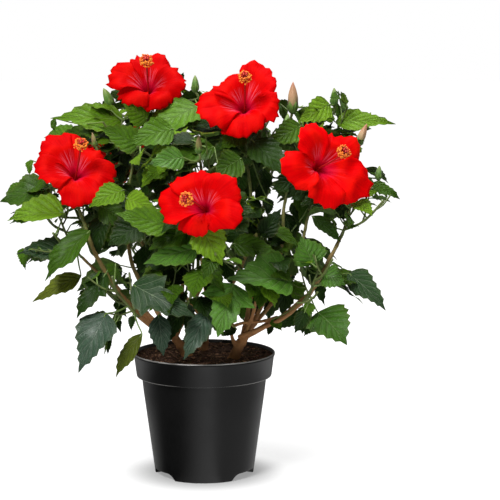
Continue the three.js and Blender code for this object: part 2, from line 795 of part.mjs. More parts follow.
function growMass(name) {
  const mass = masses[name];
  const draw = drawsFrom(mass.seed * 7919);
  const limb = limbs[mass.bough];
  const end = limb.curve.getPoint(1);
  const heading = limb.curve.getTangent(1);
  const start = end.clone().addScaledVector(heading, clearance);
  const onward = start.clone().addScaledVector(heading, 5);
  const lead = curveThrough([start, onward, ...mass.lead.map(vector)]);
  const leadLine = shootLine(lead, [limb.radii[1] * 0.98, shoot.tipRadius], false);
  const plan = { space: spaceOf(name), slack: 1, start, lines: [leadLine], blades: [], spots: [] };

  // Stalks of the blossom and the buds
  const heads = [];
  if (mass.blossom) {
    const faces = vector(mass.blossom.faces).normalize();
    const at = vector(mass.blossom.at);
    heads.push({ foot: at.clone().addScaledVector(faces, -blossom.calyxLength), faces, radius: 1.8 });
  }
  for (const bud of mass.buds ?? []) {
    heads.push({ foot: vector(bud.at), faces: vector(bud.faces).normalize(), radius: 1.5 });
  }
  for (const head of heads) {
    const spring = springPoint(head.foot, plan, 14);
    const before = head.foot.clone().addScaledVector(head.faces, -8);
    const past = head.foot.clone().addScaledVector(head.faces, 2);
    const curve = curveThrough([spring.at, before, past]);
    plan.lines.push(shootLine(curve, [head.radius, head.radius], true));
  }

  // Side shoots, each a turn further round the leading shoot
  for (let i = 0; i < mass.shoots; i++) {
    const along = 0.25 + (0.7 * (i + 0.5)) / mass.shoots;
    const from = lead.getPoint(along);
    const tangent = lead.getTangent(along);
    const inward = plan.space.centre.clone().sub(from);
    const side = squareTo(tangent, inward.add(new THREE.Vector3(0, 0, 30)));
    const across = tangent.clone().cross(side);
    for (let attempt = 0; attempt < shoot.tries; attempt++) {
      const angle = i * shoot.turn + attempt * 1.1 + draw() * 0.5;
      const length = plan.space.radius * (0.62 + 0.25 * draw()) * (1 - attempt * 0.04);
      const away = side.clone().multiplyScalar(Math.cos(angle)).addScaledVector(across, Math.sin(angle));
      away.addScaledVector(tangent, 0.5).add(new THREE.Vector3(0, 0, 0.25)).normalize();
      const to = from.clone().addScaledVector(away, length);
      const curve = shootTo(from, to, length * 0.1);
      const clear = shootClear([0.3, 0.5, 0.7, 0.85, 1].map((share) => curve.getPoint(share)), plan);
      if (!clear) continue;
      plan.lines.push(shootLine(curve, [shoot.sideRadius, shoot.tipRadius], false));
      break;
    }
  }

  // Leaves that carry the outline
  for (const [base, tip] of mass.reach) {
    const at = vector(base);
    const spring = springPoint(at, plan, 0);
    const blade = makeBlade(spring.at, at, vector(tip), faceOutward(at), 0, 0.5);
    blade.width = blade.length * leaf.widthShare;
    if (bladeFits(blade, { ...plan, slack: 1.3, placed: true })) keepBlade(blade, plan);
  }

  // Leaves that spiral round the shoots
  let turn = draw() * 6;
  const nodes = [];
  for (const line of plan.lines) {
    if (line.bare) continue;
    const count = Math.max(2, Math.round(line.curve.getLength() / shoot.nodeStep));
    for (let i = 1; i <= count; i++) {
      if (line.curve.getPoint(i / count).distanceTo(start) > 8) nodes.push({ line, along: i / count });
    }
  }
  for (let lap = 0; lap < 4 && plan.blades.length < mass.leaves + mass.reach.length; lap++) {
    for (const { line, along } of nodes) {
      if (plan.blades.length >= mass.leaves + mass.reach.length) break;
      turn += shoot.turn;
      const root = line.curve.getPoint(along);
      const tangent = line.curve.getTangent(along);
      const side = squareTo(tangent, new THREE.Vector3(0, 0, 1));
      const across = tangent.clone().cross(side);
      for (let attempt = 0; attempt < leaf.tries; attempt++) {
        const share = 1 - (attempt / leaf.tries) * (1 - leaf.leastShare);
        const length = leaf.length * share * (0.86 + 0.24 * draw());
        const angle = turn + attempt * shoot.turn;
        const away = side.clone().multiplyScalar(Math.cos(angle)).addScaledVector(across, Math.sin(angle));
        away.addScaledVector(tangent, 0.7).normalize();
        const base = root.clone().addScaledVector(away, length * (0.22 + 0.3 * draw()));
        away.z = away.z * 0.4 - leaf.hang * (0.5 + draw());
        away.normalize();
        const droop = 0.3 + 0.6 * draw();
        const tip = base.clone().addScaledVector(away, length);
        const outward = faceOutward(base).add(new THREE.Vector3(draw() - 0.5, draw() - 0.5, 0));
        const width = length * leaf.widthShare * (0.9 + 0.2 * draw());
        const blade = makeBlade(root, base, tip, outward, width, droop);
        if (!bladeFits(blade, plan)) continue;
        keepBlade(blade, plan);
        break;
      }
    }
  }
  return plan;
}

// Solids of a mass

// A leaf with its stalk is one three-sided spindle: its rings are the stalk, the blade's two widest places
// and its ends are the root, sunk in the shoot, and the tip
function leafSolid(blade) {
  const rings = leaf.blade.length + 2;
  const geometry = new THREE.SphereGeometry(1, 3, rings + 1);
  const place = geometry.attributes.position;
  const stalk = blade.base.clone().sub(blade.root).normalize();
  const stalkSide = squareTo(stalk, blade.side);
  const stalkUp = stalkSide.clone().cross(stalk);
  const corners = [[0, -1], [1, 0.5], [-1, 0.5], [0, -1]];
  for (let ring = 0; ring <= rings + 1; ring++) {
    for (let corner = 0; corner <= 3; corner++) {
      const [v, lift] = corners[corner];
      let point;
      if (ring === 0) {
        point = blade.root.clone().addScaledVector(stalk, -1);
      } else if (ring === 1) {
        point = blade.root.clone().addScaledVector(stalk, 0.5)
          .addScaledVector(stalkSide, v * leaf.petioleRadius)
          .addScaledVector(stalkUp, lift * leaf.petioleRadius);
      } else if (ring === 2) {
        point = blade.base.clone()
          .addScaledVector(blade.side, v * leaf.petioleRadius * 1.2)
          .addScaledVector(blade.up, lift * leaf.petioleRadius);
      } else if (ring === rings + 1) {
        point = bladePoint(blade, 1, 0, 0, 0);
      } else {
        const [u, share] = leaf.blade[ring - 3];
        point = bladePoint(blade, u, v, (blade.width / 2) * share, v === 0 ? -leaf.thickness : 0);
      }
      place.setXYZ(ring * 4 + corner, point.x, point.y, point.z);
    }
  }
  return toSolid(geometry);
}

// The height of the corolla above its throat at a share of the petals' length
function corollaHeight(share) {
  return -blossom.throatDepth * (1 - share) ** 3 + blossom.flare * (Math.sin(share * 2.2) - 0.5);
}

// Five petals and the calyx as one shell: a sphere's rings become the inner face, the rim, the outer face,
// the calyx and, at its last pole, the top of the stalk
function corollaSolid(flower) {
  const around = blossom.petals * blossom.petalSteps;
  const rings = [[0, 0], [0.5, 1], [1, 0], [0.5, -1]];
  const geometry = new THREE.SphereGeometry(1, around, rings.length + 1);
  const place = geometry.attributes.position;
  const put = (ring, i, angle, reach, height) => {
    const point = flower.at.clone()
      .addScaledVector(flower.right, Math.cos(angle) * reach)
      .addScaledVector(flower.top, Math.sin(angle) * reach)
      .addScaledVector(flower.faces, height);
    place.setXYZ(ring * (around + 1) + i, point.x, point.y, point.z);
  };
  for (let i = 0; i <= around; i++) {
    const spoke = i % around;
    const angle = flower.turn + (spoke / around) * 2 * Math.PI;
    rings.forEach(([share, side], ring) => {
      const ruffle = blossom.ruffle * share * share * Math.sin(spoke * 2.1 + flower.turn);
      const height = corollaHeight(share) + ruffle + (side * blossom.petalThickness) / 2;
      put(ring, i, angle, share * flower.rim[spoke], height);
    });
    put(rings.length, i, angle, blossom.calyxRadius, -blossom.throatDepth - 4);
    put(rings.length + 1, i, angle, 0, -blossom.calyxLength - 2);
  }
  return toSolid(geometry);
}

function flowerFrame(spec) {
  const faces = vector(spec.faces).normalize();
  const top = squareTo(faces, new THREE.Vector3(0, 0, 1));
  const right = top.clone().cross(faces);
  return { at: vector(spec.at), faces, top, right, rim: spec.rim, turn: (spec.turn * Math.PI) / 180 };
}

function blossomSolids(spec) {
  const flower = flowerFrame(spec);
  const along = (height) => flower.at.clone().addScaledVector(flower.faces, height);
  const bend = along(blossom.columnLength * 0.5).addScaledVector(flower.top, -2);
  const column = curveThrough([along(-blossom.throatDepth - 7), bend, along(blossom.columnLength)]);
  const columnRadius = (share) => {
    if (share < 0.7) return blossom.columnRadius;
    return share > 0.9 ? 3 : blossom.antherRadius;
  };
  return [corollaSolid(flower), limbSolid(column, columnRadius, 4, 4)];
}

function budSolid(bud) {
  const foot = vector(bud.at);
  const faces = vector(bud.faces).normalize();
  const curve = curveThrough([foot, foot.clone().addScaledVector(faces, bud.length)]);
  const radius = bud.length * 0.19;
  const radiusAt = (share) => 0.9 + radius * Math.sin(Math.PI * Math.min(1, share * 0.85 + 0.15));
  return limbSolid(curve, radiusAt, 4, 2);
}

function massSolid(name) {
  const mass = masses[name];
  const plan = growMass(name);
  let body = null;
  for (const line of plan.lines) {
    const [thick, thin] = line.radii;
    const steps = line === plan.lines[0] ? 3 : 2;
    const twig = limbSolid(line.curve, (along) => thick + (thin - thick) * along, 3, steps);
    body = body ? body.add(twig) : twig;
  }
  if (mass.blossom) for (const part of blossomSolids(mass.blossom)) body = body.add(part);
  for (const bud of mass.buds ?? []) body = body.add(budSolid(bud));
  for (const blade of plan.blades) body = body.add(leafSolid(blade));
  return wholeBody(body);
}

// The whole shrub

const shrub = new THREE.Group();
shrub.name = 'hibiscus_shrub';

const container = new THREE.Group();
container.add(toMesh('pot', potSolid(), [0, 0, 0], colours.pot, 0.42));
container.add(toMesh('compost', compostSolid(), [0, 0, pot.floor], colours.compost, 0.95));

const framework = new THREE.Group();
for (const [name, solid] of Object.entries(limbSolids())) {
  const path = (stems[name] ?? boughs[name]).path;
  framework.add(toMesh(name, solid, path[0], colours.bark, 0.8));
}

const crown = new THREE.Group();
for (const [name, mass] of Object.entries(masses)) {
  const height = mass.ball[2];
  let colour = colours.leafMid;
  if (height > 370) colour = colours.leafBright;
  if (height < 290) colour = colours.leafDark;
  const root = boughs[mass.bough].path.at(-1);
  crown.add(toMesh(name, massSolid(name), root, colour, 0.45));
}

shrub.add(container, framework, crown);

export default shrub;
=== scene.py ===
import json
import math
import bpy
import numpy as np
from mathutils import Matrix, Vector, noise

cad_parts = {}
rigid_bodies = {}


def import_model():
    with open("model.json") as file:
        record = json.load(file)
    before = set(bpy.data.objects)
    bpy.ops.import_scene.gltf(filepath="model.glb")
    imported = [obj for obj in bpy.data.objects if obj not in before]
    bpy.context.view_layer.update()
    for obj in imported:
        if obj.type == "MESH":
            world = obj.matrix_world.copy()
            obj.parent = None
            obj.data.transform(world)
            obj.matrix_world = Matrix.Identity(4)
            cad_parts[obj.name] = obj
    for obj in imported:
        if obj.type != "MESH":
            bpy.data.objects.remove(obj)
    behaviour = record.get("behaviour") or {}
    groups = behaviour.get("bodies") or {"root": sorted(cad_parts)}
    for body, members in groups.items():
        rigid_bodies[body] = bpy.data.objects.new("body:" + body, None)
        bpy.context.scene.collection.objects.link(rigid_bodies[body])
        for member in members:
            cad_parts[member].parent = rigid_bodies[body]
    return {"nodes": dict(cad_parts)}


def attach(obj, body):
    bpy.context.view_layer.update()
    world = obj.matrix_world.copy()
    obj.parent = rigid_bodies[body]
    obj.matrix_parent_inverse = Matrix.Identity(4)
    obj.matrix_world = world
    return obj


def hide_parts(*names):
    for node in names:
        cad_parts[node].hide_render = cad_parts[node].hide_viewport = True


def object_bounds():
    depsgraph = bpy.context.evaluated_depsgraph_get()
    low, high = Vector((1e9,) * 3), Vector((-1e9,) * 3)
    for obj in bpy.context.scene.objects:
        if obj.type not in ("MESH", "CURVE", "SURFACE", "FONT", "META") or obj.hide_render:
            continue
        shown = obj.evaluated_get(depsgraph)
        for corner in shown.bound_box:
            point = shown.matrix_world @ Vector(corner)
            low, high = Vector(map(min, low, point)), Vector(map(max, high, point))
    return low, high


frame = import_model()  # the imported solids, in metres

cadBox = [list(corner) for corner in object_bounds()]
mm = 0.001
boxLow = np.array(cadBox[0]) / mm + 0.3  # what shows stays within these
boxHigh = np.array(cadBox[1]) / mm - 0.3
boxLow[2] = 0.0
print("frame loaded:", len(frame["nodes"]), "solids")

# shared ways of making a material


def rgb(red, green, blue):
    return (red, green, blue, 1.0)


def addShader(tree, kind, values=None, **settings):  # a node with its settings, its numbers and its links
    made = tree.nodes.new("ShaderNode" + kind)
    for key, value in settings.items():
        setattr(made, key, value)
    for key, value in (values or {}).items():
        if isinstance(value, bpy.types.NodeSocket):
            tree.links.new(value, made.inputs[key])
        else:
            made.inputs[key].default_value = value
    return made


def calc(tree, operation, first, second=0.0, third=0.0):
    return addShader(tree, "Math", {0: first, 1: second, 2: third}, operation=operation).outputs[0]


def blend(tree, share, first, second, mode="MIX"):
    made = addShader(tree, "Mix", {0: share, 6: first, 7: second}, data_type="RGBA", blend_type=mode)
    return made.outputs[2]


def shaded(tree, tone, light):  # a colour made darker or lighter by a number
    grey = addShader(tree, "CombineColor", {0: light, 1: light, 2: light}).outputs[0]
    return blend(tree, 1.0, tone, grey, "MULTIPLY")


def spread(tree, value, low, high, newLow=0.0, newHigh=1.0, smooth=False):  # one range laid over another
    numbers = {"Value": value, "From Min": low, "From Max": high, "To Min": newLow, "To Max": newHigh}
    kind = "SMOOTHSTEP" if smooth else "LINEAR"
    return addShader(tree, "MapRange", numbers, interpolation_type=kind).outputs[0]


def mapOf(tree, kind="Object"):
    return addShader(tree, "TexCoord").outputs[kind]


def axesOf(tree, kind="Object"):
    return addShader(tree, "SeparateXYZ", {0: mapOf(tree, kind)}).outputs


def ownValue(tree, name):
    return addShader(tree, "Attribute", attribute_name=name).outputs["Fac"]


def addBump(tree, skin, height, strength, distance):
    made = addShader(tree, "Bump", {"Height": height, "Strength": strength, "Distance": distance})
    tree.links.new(made.outputs[0], skin.inputs["Normal"])


def newMaterial(name, numbers):
    made = bpy.data.materials.new(name)
    made.use_nodes = True
    skin = made.node_tree.nodes["Principled BSDF"]
    for key, value in numbers.items():
        skin.inputs[key].default_value = value
    return made, made.node_tree, skin


def newGroup(name, inputs, outputs):
    group = bpy.data.node_groups.new(name, "ShaderNodeTree")
    for label, value in inputs.items():
        socket = group.interface.new_socket(name=label, in_out="INPUT", socket_type="NodeSocketFloat")
        socket.default_value = value
    for label in outputs:
        group.interface.new_socket(name=label, in_out="OUTPUT", socket_type="NodeSocketFloat")
    return group, group.nodes.new("NodeGroupInput").outputs, group.nodes.new("NodeGroupOutput")


def putOut(group, end, results):
    for i, result in enumerate(results):
        group.links.new(result, end.inputs[i])


def useGroup(tree, group, values):
    return addShader(tree, "Group", values, node_tree=group)


# mottle: soft patches of light and dark over a piece, read from its own place
mottle, mottleIn, mottleEnd = newGroup(
    "mottle", {"Patch Scale": 60.0, "Fine Scale": 400.0}, ("Patches", "Fine", "Both"),
)
place = mapOf(mottle)
patches = addShader(mottle, "TexNoise", {"Vector": place, "Scale": mottleIn[0], "Detail": 3.0}).outputs[0]
fine = addShader(mottle, "TexNoise", {"Vector": place, "Scale": mottleIn[1], "Detail": 4.0}).outputs[0]
both = calc(mottle, "ADD", calc(mottle, "MULTIPLY", patches, 0.65), calc(mottle, "MULTIPLY", fine, 0.35))
putOut(mottle, mottleEnd, (patches, fine, both))

# veins: a midrib, side veins that run up and out from it, and the fine net between them, on a leaf's own map
veins, veinsIn, veinsEnd = newGroup(
    "veins", {"Pairs": 7.0, "Rise": 0.36, "Rib Width": 0.035}, ("Veins", "Relief", "Across", "Along"),
)
leafMap = axesOf(veins, "UV")
across = calc(veins, "ABSOLUTE", calc(veins, "MULTIPLY_ADD", leafMap[0], 2.0, -1.0))
along = leafMap[1]
rib = spread(veins, across, veinsIn[2], 0.0, smooth=True)
climb = calc(veins, "SUBTRACT", along, calc(veins, "MULTIPLY", calc(veins, "POWER", across, 0.8), veinsIn[1]))
phase = calc(veins, "FRACT", calc(veins, "MULTIPLY", calc(veins, "ADD", climb, 1.0), veinsIn[0]))
fromLine = calc(veins, "ABSOLUTE", calc(veins, "SUBTRACT", phase, 0.5))
sideVein = spread(veins, fromLine, 0.09, 0.0, smooth=True)
sideVein = calc(veins, "MULTIPLY", sideVein, calc(veins, "SUBTRACT", 1.0, calc(veins, "POWER", across, 3.0)))
stretch = addShader(veins, "CombineXYZ", {0: across, 1: calc(veins, "MULTIPLY", climb, 2.0)}).outputs[0]
net = addShader(veins, "TexVoronoi", {"Vector": stretch, "Scale": 13.0}, feature="DISTANCE_TO_EDGE")
netLine = spread(veins, net.outputs[0], 0.07, 0.0)
lines = calc(veins, "MAXIMUM", rib, calc(veins, "MULTIPLY", sideVein, 0.75))
lines = calc(veins, "MAXIMUM", lines, calc(veins, "MULTIPLY", netLine, 0.22))
quilt = calc(veins, "MULTIPLY", calc(veins, "SUBTRACT", 0.5, fromLine), -1.6)
relief = calc(veins, "SUBTRACT", calc(veins, "MULTIPLY", quilt, 0.5), calc(veins, "MULTIPLY", lines, 0.6))
putOut(veins, veinsEnd, (lines, relief, across, along))

# grain: long fissures that run up a limb, and small cross marks
grain, grainIn, grainEnd = newGroup("grain", {"Scale": 150.0, "Stretch": 0.22}, ("Fissures", "Flecks"))
place = mapOf(grain)
squash = addShader(grain, "CombineXYZ", {0: 1.0, 1: 1.0, 2: grainIn[1]}).outputs[0]
drawn = addShader(grain, "VectorMath", {0: place, 1: squash}, operation="MULTIPLY").outputs[0]
fissure = {"Vector": drawn, "Scale": grainIn[0], "Detail": 5.0, "Distortion": 0.6}
fissure = addShader(grain, "TexNoise", fissure)
fleck = addShader(grain, "TexVoronoi", {"Vector": place, "Scale": calc(grain, "MULTIPLY", grainIn[0], 2.4)})
putOut(grain, grainEnd, (fissure.outputs[0], fleck.outputs["Distance"]))
print("shader groups made")


# camera, floor and light

view = dict(eye=(0.055, -2.2, 0.556), aim=(0.055, 0.0, 0.270), lens=134.18, sensor=36.0)
studio = dict(
    sky=rgb(1.0, 1.0, 1.0), skyLight=0.16, skySeen=1.0,
    lamps=[
        # name, place, what it looks at, width, height, watts
        ("lampKey", (-0.9, -1.7, 1.9), (0.0, 0.0, 0.30), 0.8, 0.8, 57.0),
        ("lampTop", (0.2, 0.1, 2.2), (0.0, 0.0, 0.30), 1.0, 1.0, 41.0),
    ],
    floorSize=24.0, floorColour=rgb(0.74, 0.74, 0.74), floorSeen=rgb(0.35, 0.35, 0.35),
    floorMirrored=rgb(0.05, 0.05, 0.05),
    stripFrom=-0.75, stripAt=0.24, stripEnd=0.46, stripGlow=0.92, rightGlow=0.42, sideGlow=0.26,
)


def inScene(thing):
    bpy.context.scene.collection.objects.link(thing)
    return thing


def standAt(thing, spot, target):  # where a lamp or the camera stands, and what it looks at
    inScene(thing)
    thing.location = spot
    thing.rotation_euler = (Vector(target) - Vector(spot)).to_track_quat("-Z", "Y").to_euler()


cameraData = bpy.data.cameras.new("camera")
cameraData.lens = view["lens"]
cameraData.sensor_width = view["sensor"]
camera = bpy.data.objects.new("camera", cameraData)
standAt(camera, view["eye"], view["aim"])
bpy.context.scene.camera = camera
bpy.context.scene.view_settings.view_transform = "Standard"

for name, spot, target, width, height, watts in studio["lamps"]:
    lampData = bpy.data.lights.new(name, "AREA")
    lampData.shape = "RECTANGLE"
    lampData.size = width
    lampData.size_y = height
    lampData.energy = watts
    standAt(bpy.data.objects.new(name, lampData), spot, target)

world = bpy.data.worlds.new("studioSky")
bpy.context.scene.world = world
world.use_nodes = True
skyTree = world.node_tree
skyNode = skyTree.nodes["Background"]
skyNode.inputs["Color"].default_value = studio["sky"]
# the lens sees a brighter sky than the leaves do
skyRay = addShader(skyTree, "LightPath").outputs["Is Camera Ray"]
skyStrength = spread(skyTree, skyRay, 0.0, 1.0, studio["skyLight"], studio["skySeen"])
skyTree.links.new(skyStrength, skyNode.inputs["Strength"])


def deselect():
    for thing in bpy.context.view_layer.objects:
        thing.select_set(False)
    bpy.context.view_layer.objects.active = None


def makeActive(thing):
    deselect()
    thing.select_set(True)
    bpy.context.view_layer.objects.active = thing


deselect()
bpy.ops.mesh.primitive_plane_add(size=studio["floorSize"], location=(0.0, 0.0, 0.0))
floor = bpy.context.active_object
floor.name = "floor"
floorPaint, tree, skin = newMaterial("floorPaint", {
    "Roughness": 0.9, "Specular IOR Level": 0.2, "Emission Color": rgb(1.0, 1.0, 1.0)})
spot = mapOf(tree)
away = addShader(tree, "VectorMath", {0: spot}, operation="LENGTH").outputs["Value"]
ray = addShader(tree, "LightPath").outputs
# painted contact shadow: the floor the lens sees is darker round the pot's foot and paler with distance, so
# that it ends in white
glow = spread(tree, away, 0.052, 0.108, 0.30, 0.84, smooth=True)
glow = calc(tree, "ADD", glow, spread(tree, away, 0.15, 1.2, 0.0, 0.14))
glow = calc(tree, "MULTIPLY", glow, ray["Is Camera Ray"])

# what a glossy pot mirrors: a dark studio floor, one bright strip in front and a bright surround at the sides
axes = addShader(tree, "SeparateXYZ", {0: spot}).outputs
bearing = calc(tree, "ARCTAN2", axes[0], calc(tree, "MULTIPLY", axes[1], -1.0))
inStrip = spread(tree, bearing, studio["stripFrom"], studio["stripAt"], 0.0, studio["stripGlow"], smooth=True)
pastStrip = spread(
    tree, bearing, studio["stripAt"], studio["stripEnd"], 1.0, studio["rightGlow"], smooth=True,
)
atSide = spread(tree, calc(tree, "ABSOLUTE", bearing), 1.25, 2.3, 0.0, studio["sideGlow"])
mirrored = calc(tree, "MAXIMUM", calc(tree, "MULTIPLY", inStrip, pastStrip), atSide)
mirrored = calc(tree, "MULTIPLY", mirrored, spread(tree, away, 0.46, 0.32))
mirrored = calc(tree, "MULTIPLY", mirrored, ray["Is Glossy Ray"])
tree.links.new(calc(tree, "ADD", glow, mirrored), skin.inputs["Emission Strength"])
floorTone = blend(tree, ray["Is Glossy Ray"], studio["floorColour"], studio["floorMirrored"])
floorTone = blend(tree, ray["Is Camera Ray"], floorTone, studio["floorSeen"])
tree.links.new(floorTone, skin.inputs["Base Color"])
floor.data.materials.append(floorPaint)
print("camera, floor and light set")


# the shrub's own named sizes and places, in millimetres: stems, boughs and masses of foliage

stems = {  # radii at the foot and at the end, and the points that the line runs through
    "stem_right": ((6.6, 5.6), [(36, -30, 143.3), (41, -32, 157), (49, -36, 173)]),
    "stem_left": ((5.8, 5), [(-20, -14, 143.3), (-27, -18, 158), (-38, -26, 174)]),
    "stem_back": ((6.4, 5.4), [(-2, 28, 143.3), (0, 34, 160), (4, 44, 182)]),
}
boughs = {
    "bough_right_low": ((3.6, 3), [(48, -35, 170), (74, -45, 187), (96, -55, 201), (124, -60, 226)]),
    "bough_right_high": ((3, 2.2), [(124, -60, 226), (137, -60, 247), (150, -55, 272), (160, -50, 291)]),
    "bough_right_twin": ((3, 2.2), [(43, -39, 172), (66, -54, 184), (94, -65, 199), (117, -72, 220)]),
    "bough_middle_right": ((2.7, 2), [(48, -36, 169), (58, -50, 200), (66, -60, 235)]),
    "bough_top_right": ((3.2, 1.9), [
        (46, -33, 168), (55, -20, 211), (64, -12, 262), (58, -8, 318), (52, -8, 368),
    ]),
    "bough_right_top": ((3, 1.8), [
        (46, -32, 166), (72, -16, 212), (91, -14, 268), (96, -8, 325), (106, 2, 372),
    ]),
    "bough_right_back": ((2.9, 1.9), [(44, -30, 166), (80, 2, 205), (110, 12, 252), (127, 18, 318)]),
    "bough_left_high": ((3.3, 2.2), [
        (-38, -26, 172), (-68, -46, 193), (-98, -62, 228), (-122, -70, 272), (-141, -64, 322),
    ]),
    "bough_left_tip": ((2.9, 1.8), [(-36, -22, 170), (-72, -34, 198), (-104, -46, 232), (-140, -52, 268)]),
    "bough_left_low": ((2.6, 2), [(-36, -28, 169), (-56, -58, 184), (-74, -78, 203)]),
    "bough_front_low": ((2.6, 2), [(-34, -24, 168), (-28, -48, 188), (-18, -66, 212)]),
    "bough_front": ((2.9, 1.9), [(-34, -22, 168), (-14, -24, 208), (6, -34, 248), (8, -56, 284)]),
    "bough_upper_middle": ((2.9, 1.8), [(-34, -20, 168), (-26, -8, 220), (-24, -14, 280), (-26, -32, 336)]),
    "bough_top_left": ((3, 1.8), [
        (-36, -22, 169), (-66, -10, 216), (-86, -14, 262), (-90, -10, 320), (-84, -4, 372),
    ]),
    "bough_left_back": ((2.7, 1.9), [(-38, -22, 170), (-74, 6, 198), (-110, 20, 228), (-134, 26, 262)]),
    "bough_back_top": ((3.2, 1.9), [(4, 44, 180), (2, 48, 250), (-2, 60, 318), (-6, 72, 370)]),
    "bough_back_left": ((3, 1.9), [(2, 42, 176), (-38, 56, 222), (-82, 64, 278), (-108, 70, 326)]),
    "bough_back_right": ((3, 1.9), [(4, 42, 176), (34, 60, 222), (62, 76, 282), (76, 88, 330)]),
    "bough_back_middle": ((2.9, 1.9), [(4, 44, 178), (0, 78, 212), (-8, 106, 256)]),
    "bough_back_left_low": ((2.7, 1.9), [(2, 42, 172), (-36, 70, 198), (-68, 88, 226)]),
    "bough_back_right_low": ((2.7, 1.9), [(4, 42, 172), (46, 70, 198), (76, 86, 226)]),
}

# a mass grows from the bough of its name. Its ball is a centre and a radius; a blossom is its place and the
# way it faces; a bud has its length as well
masses = {
    "mass_left_high": dict(
        ball=(-130, -56, 352, 84), seed=11, leaves=7, shoots=2, lead=[(-147, -48, 344), (-144, -36, 366)],
        blossom=((-144, -60, 371), (0.19, -0.73, 0.66)), buds=[((-125, -36, 396), (-0.2, 0, 1), 17)],
    ),
    "mass_left_tip": dict(
        ball=(-188, -58, 296, 92), seed=12, leaves=6, shoots=2, lead=[(-156, -52, 290), (-168, -50, 320)],
    ),
    "mass_left_low": dict(
        ball=(-104, -92, 202, 80), seed=13, leaves=6, shoots=3, lead=[(-88, -86, 220), (-100, -88, 236)],
    ),
    "mass_front_low": dict(
        ball=(-22, -98, 222, 88), seed=14, leaves=6, shoots=3, lead=[(-12, -80, 228), (4, -86, 244)],
    ),
    "mass_middle_right": dict(
        ball=(68, -92, 274, 80), seed=15, leaves=7, shoots=3, lead=[(72, -72, 262), (72, -82, 296)],
    ),
    "mass_right_low": dict(
        bough="bough_right_twin", ball=(148, -76, 240, 84), seed=16, leaves=6, shoots=2,
        lead=[(127, -78, 238), (134, -76, 258)],
    ),
    "mass_right_high": dict(
        ball=(160, -52, 356, 84), seed=17, leaves=7, shoots=2, lead=[(170, -42, 316), (174, -34, 350)],
        blossom=((139, -80, 377), (0.49, -0.81, 0.31)), buds=[((205, -25, 356), (0.1, 0, 1), 17)],
    ),
    "mass_front": dict(
        ball=(-8, -130, 322, 84), seed=18, leaves=7, shoots=2, lead=[(8, -84, 306), (8, -112, 322)],
        blossom=((1, -160, 339), (-0.28, -0.88, 0.38)),
    ),
    "mass_upper_middle": dict(
        ball=(-36, -84, 398, 76), seed=19, leaves=7, shoots=3, lead=[(-26, -50, 362), (-30, -62, 392)],
        buds=[((-3, -92, 392), (0, -0.1, 1), 22)],
    ),
    "mass_top_left": dict(
        ball=(-90, 8, 430, 88), seed=20, leaves=8, shoots=2, lead=[(-80, 4, 408), (-68, 16, 438)],
        blossom=((-65, 0, 466), (0, -0.77, 0.64)),
        buds=[((-109, 15, 440), (-0.4, -0.1, 0.9), 24), ((-10, 14, 456), (0, 0, 1), 21)],
    ),
    "mass_top_right": dict(
        ball=(44, -14, 424, 80), seed=21, leaves=7, shoots=3, lead=[(50, -8, 398), (50, -6, 424)],
        blossom=((49, -30, 446), (0, -0.8, 0.6)),
    ),
    "mass_right_top": dict(
        ball=(142, 8, 420, 82), seed=22, leaves=7, shoots=2, lead=[(118, 6, 400), (134, 10, 424)],
        buds=[((105, 0, 432), (0.02, 0, 1), 38), ((155, 20, 440), (0, 0, 1), 22),
              ((181, 0, 393), (0.4, 0, 0.9), 30)],
    ),
    "mass_right_back": dict(
        ball=(158, 66, 340, 84), seed=23, leaves=7, shoots=2, lead=[(138, 36, 348), (150, 60, 368)],
        blossom=((152, 110, 344), (0.64, 0.64, 0.42)),
    ),
    "mass_left_back": dict(
        ball=(-162, 50, 300, 82), seed=24, leaves=7, shoots=3, lead=[(-146, 36, 290), (-158, 44, 318)],
    ),
    "mass_back_top": dict(
        ball=(6, 92, 430, 84), seed=25, leaves=7, shoots=2, lead=[(-4, 86, 408), (2, 98, 436)],
        buds=[((4, 124, 432), (0.1, 0.3, 0.9), 24), ((34, 96, 438), (0.4, 0, 0.9), 20)],
    ),
    "mass_back_left": dict(
        ball=(-122, 100, 376, 86), seed=26, leaves=7, shoots=2, lead=[(-118, 82, 354), (-122, 96, 384)],
        blossom=((-114, 126, 368), (-0.5, 0.72, 0.48)),
    ),
    "mass_back_right": dict(
        ball=(96, 124, 372, 84), seed=27, leaves=7, shoots=3, lead=[(84, 100, 362), (92, 116, 390)],
        buds=[((100, 138, 402), (0.1, 0.3, 1), 24)],
    ),
    "mass_back_middle": dict(
        ball=(-12, 146, 312, 84), seed=28, leaves=7, shoots=2, lead=[(-12, 124, 288), (-12, 140, 318)],
        blossom=((-6, 172, 306), (0.05, 0.92, 0.36)),
    ),
    "mass_back_left_low": dict(
        ball=(-100, 104, 254, 80), seed=31, leaves=7, shoots=3, lead=[(-84, 96, 246), (-98, 102, 270)],
    ),
    "mass_back_right_low": dict(
        ball=(100, 98, 256, 80), seed=30, leaves=7, shoots=3, lead=[(90, 92, 246), (102, 96, 270)],
    ),
}

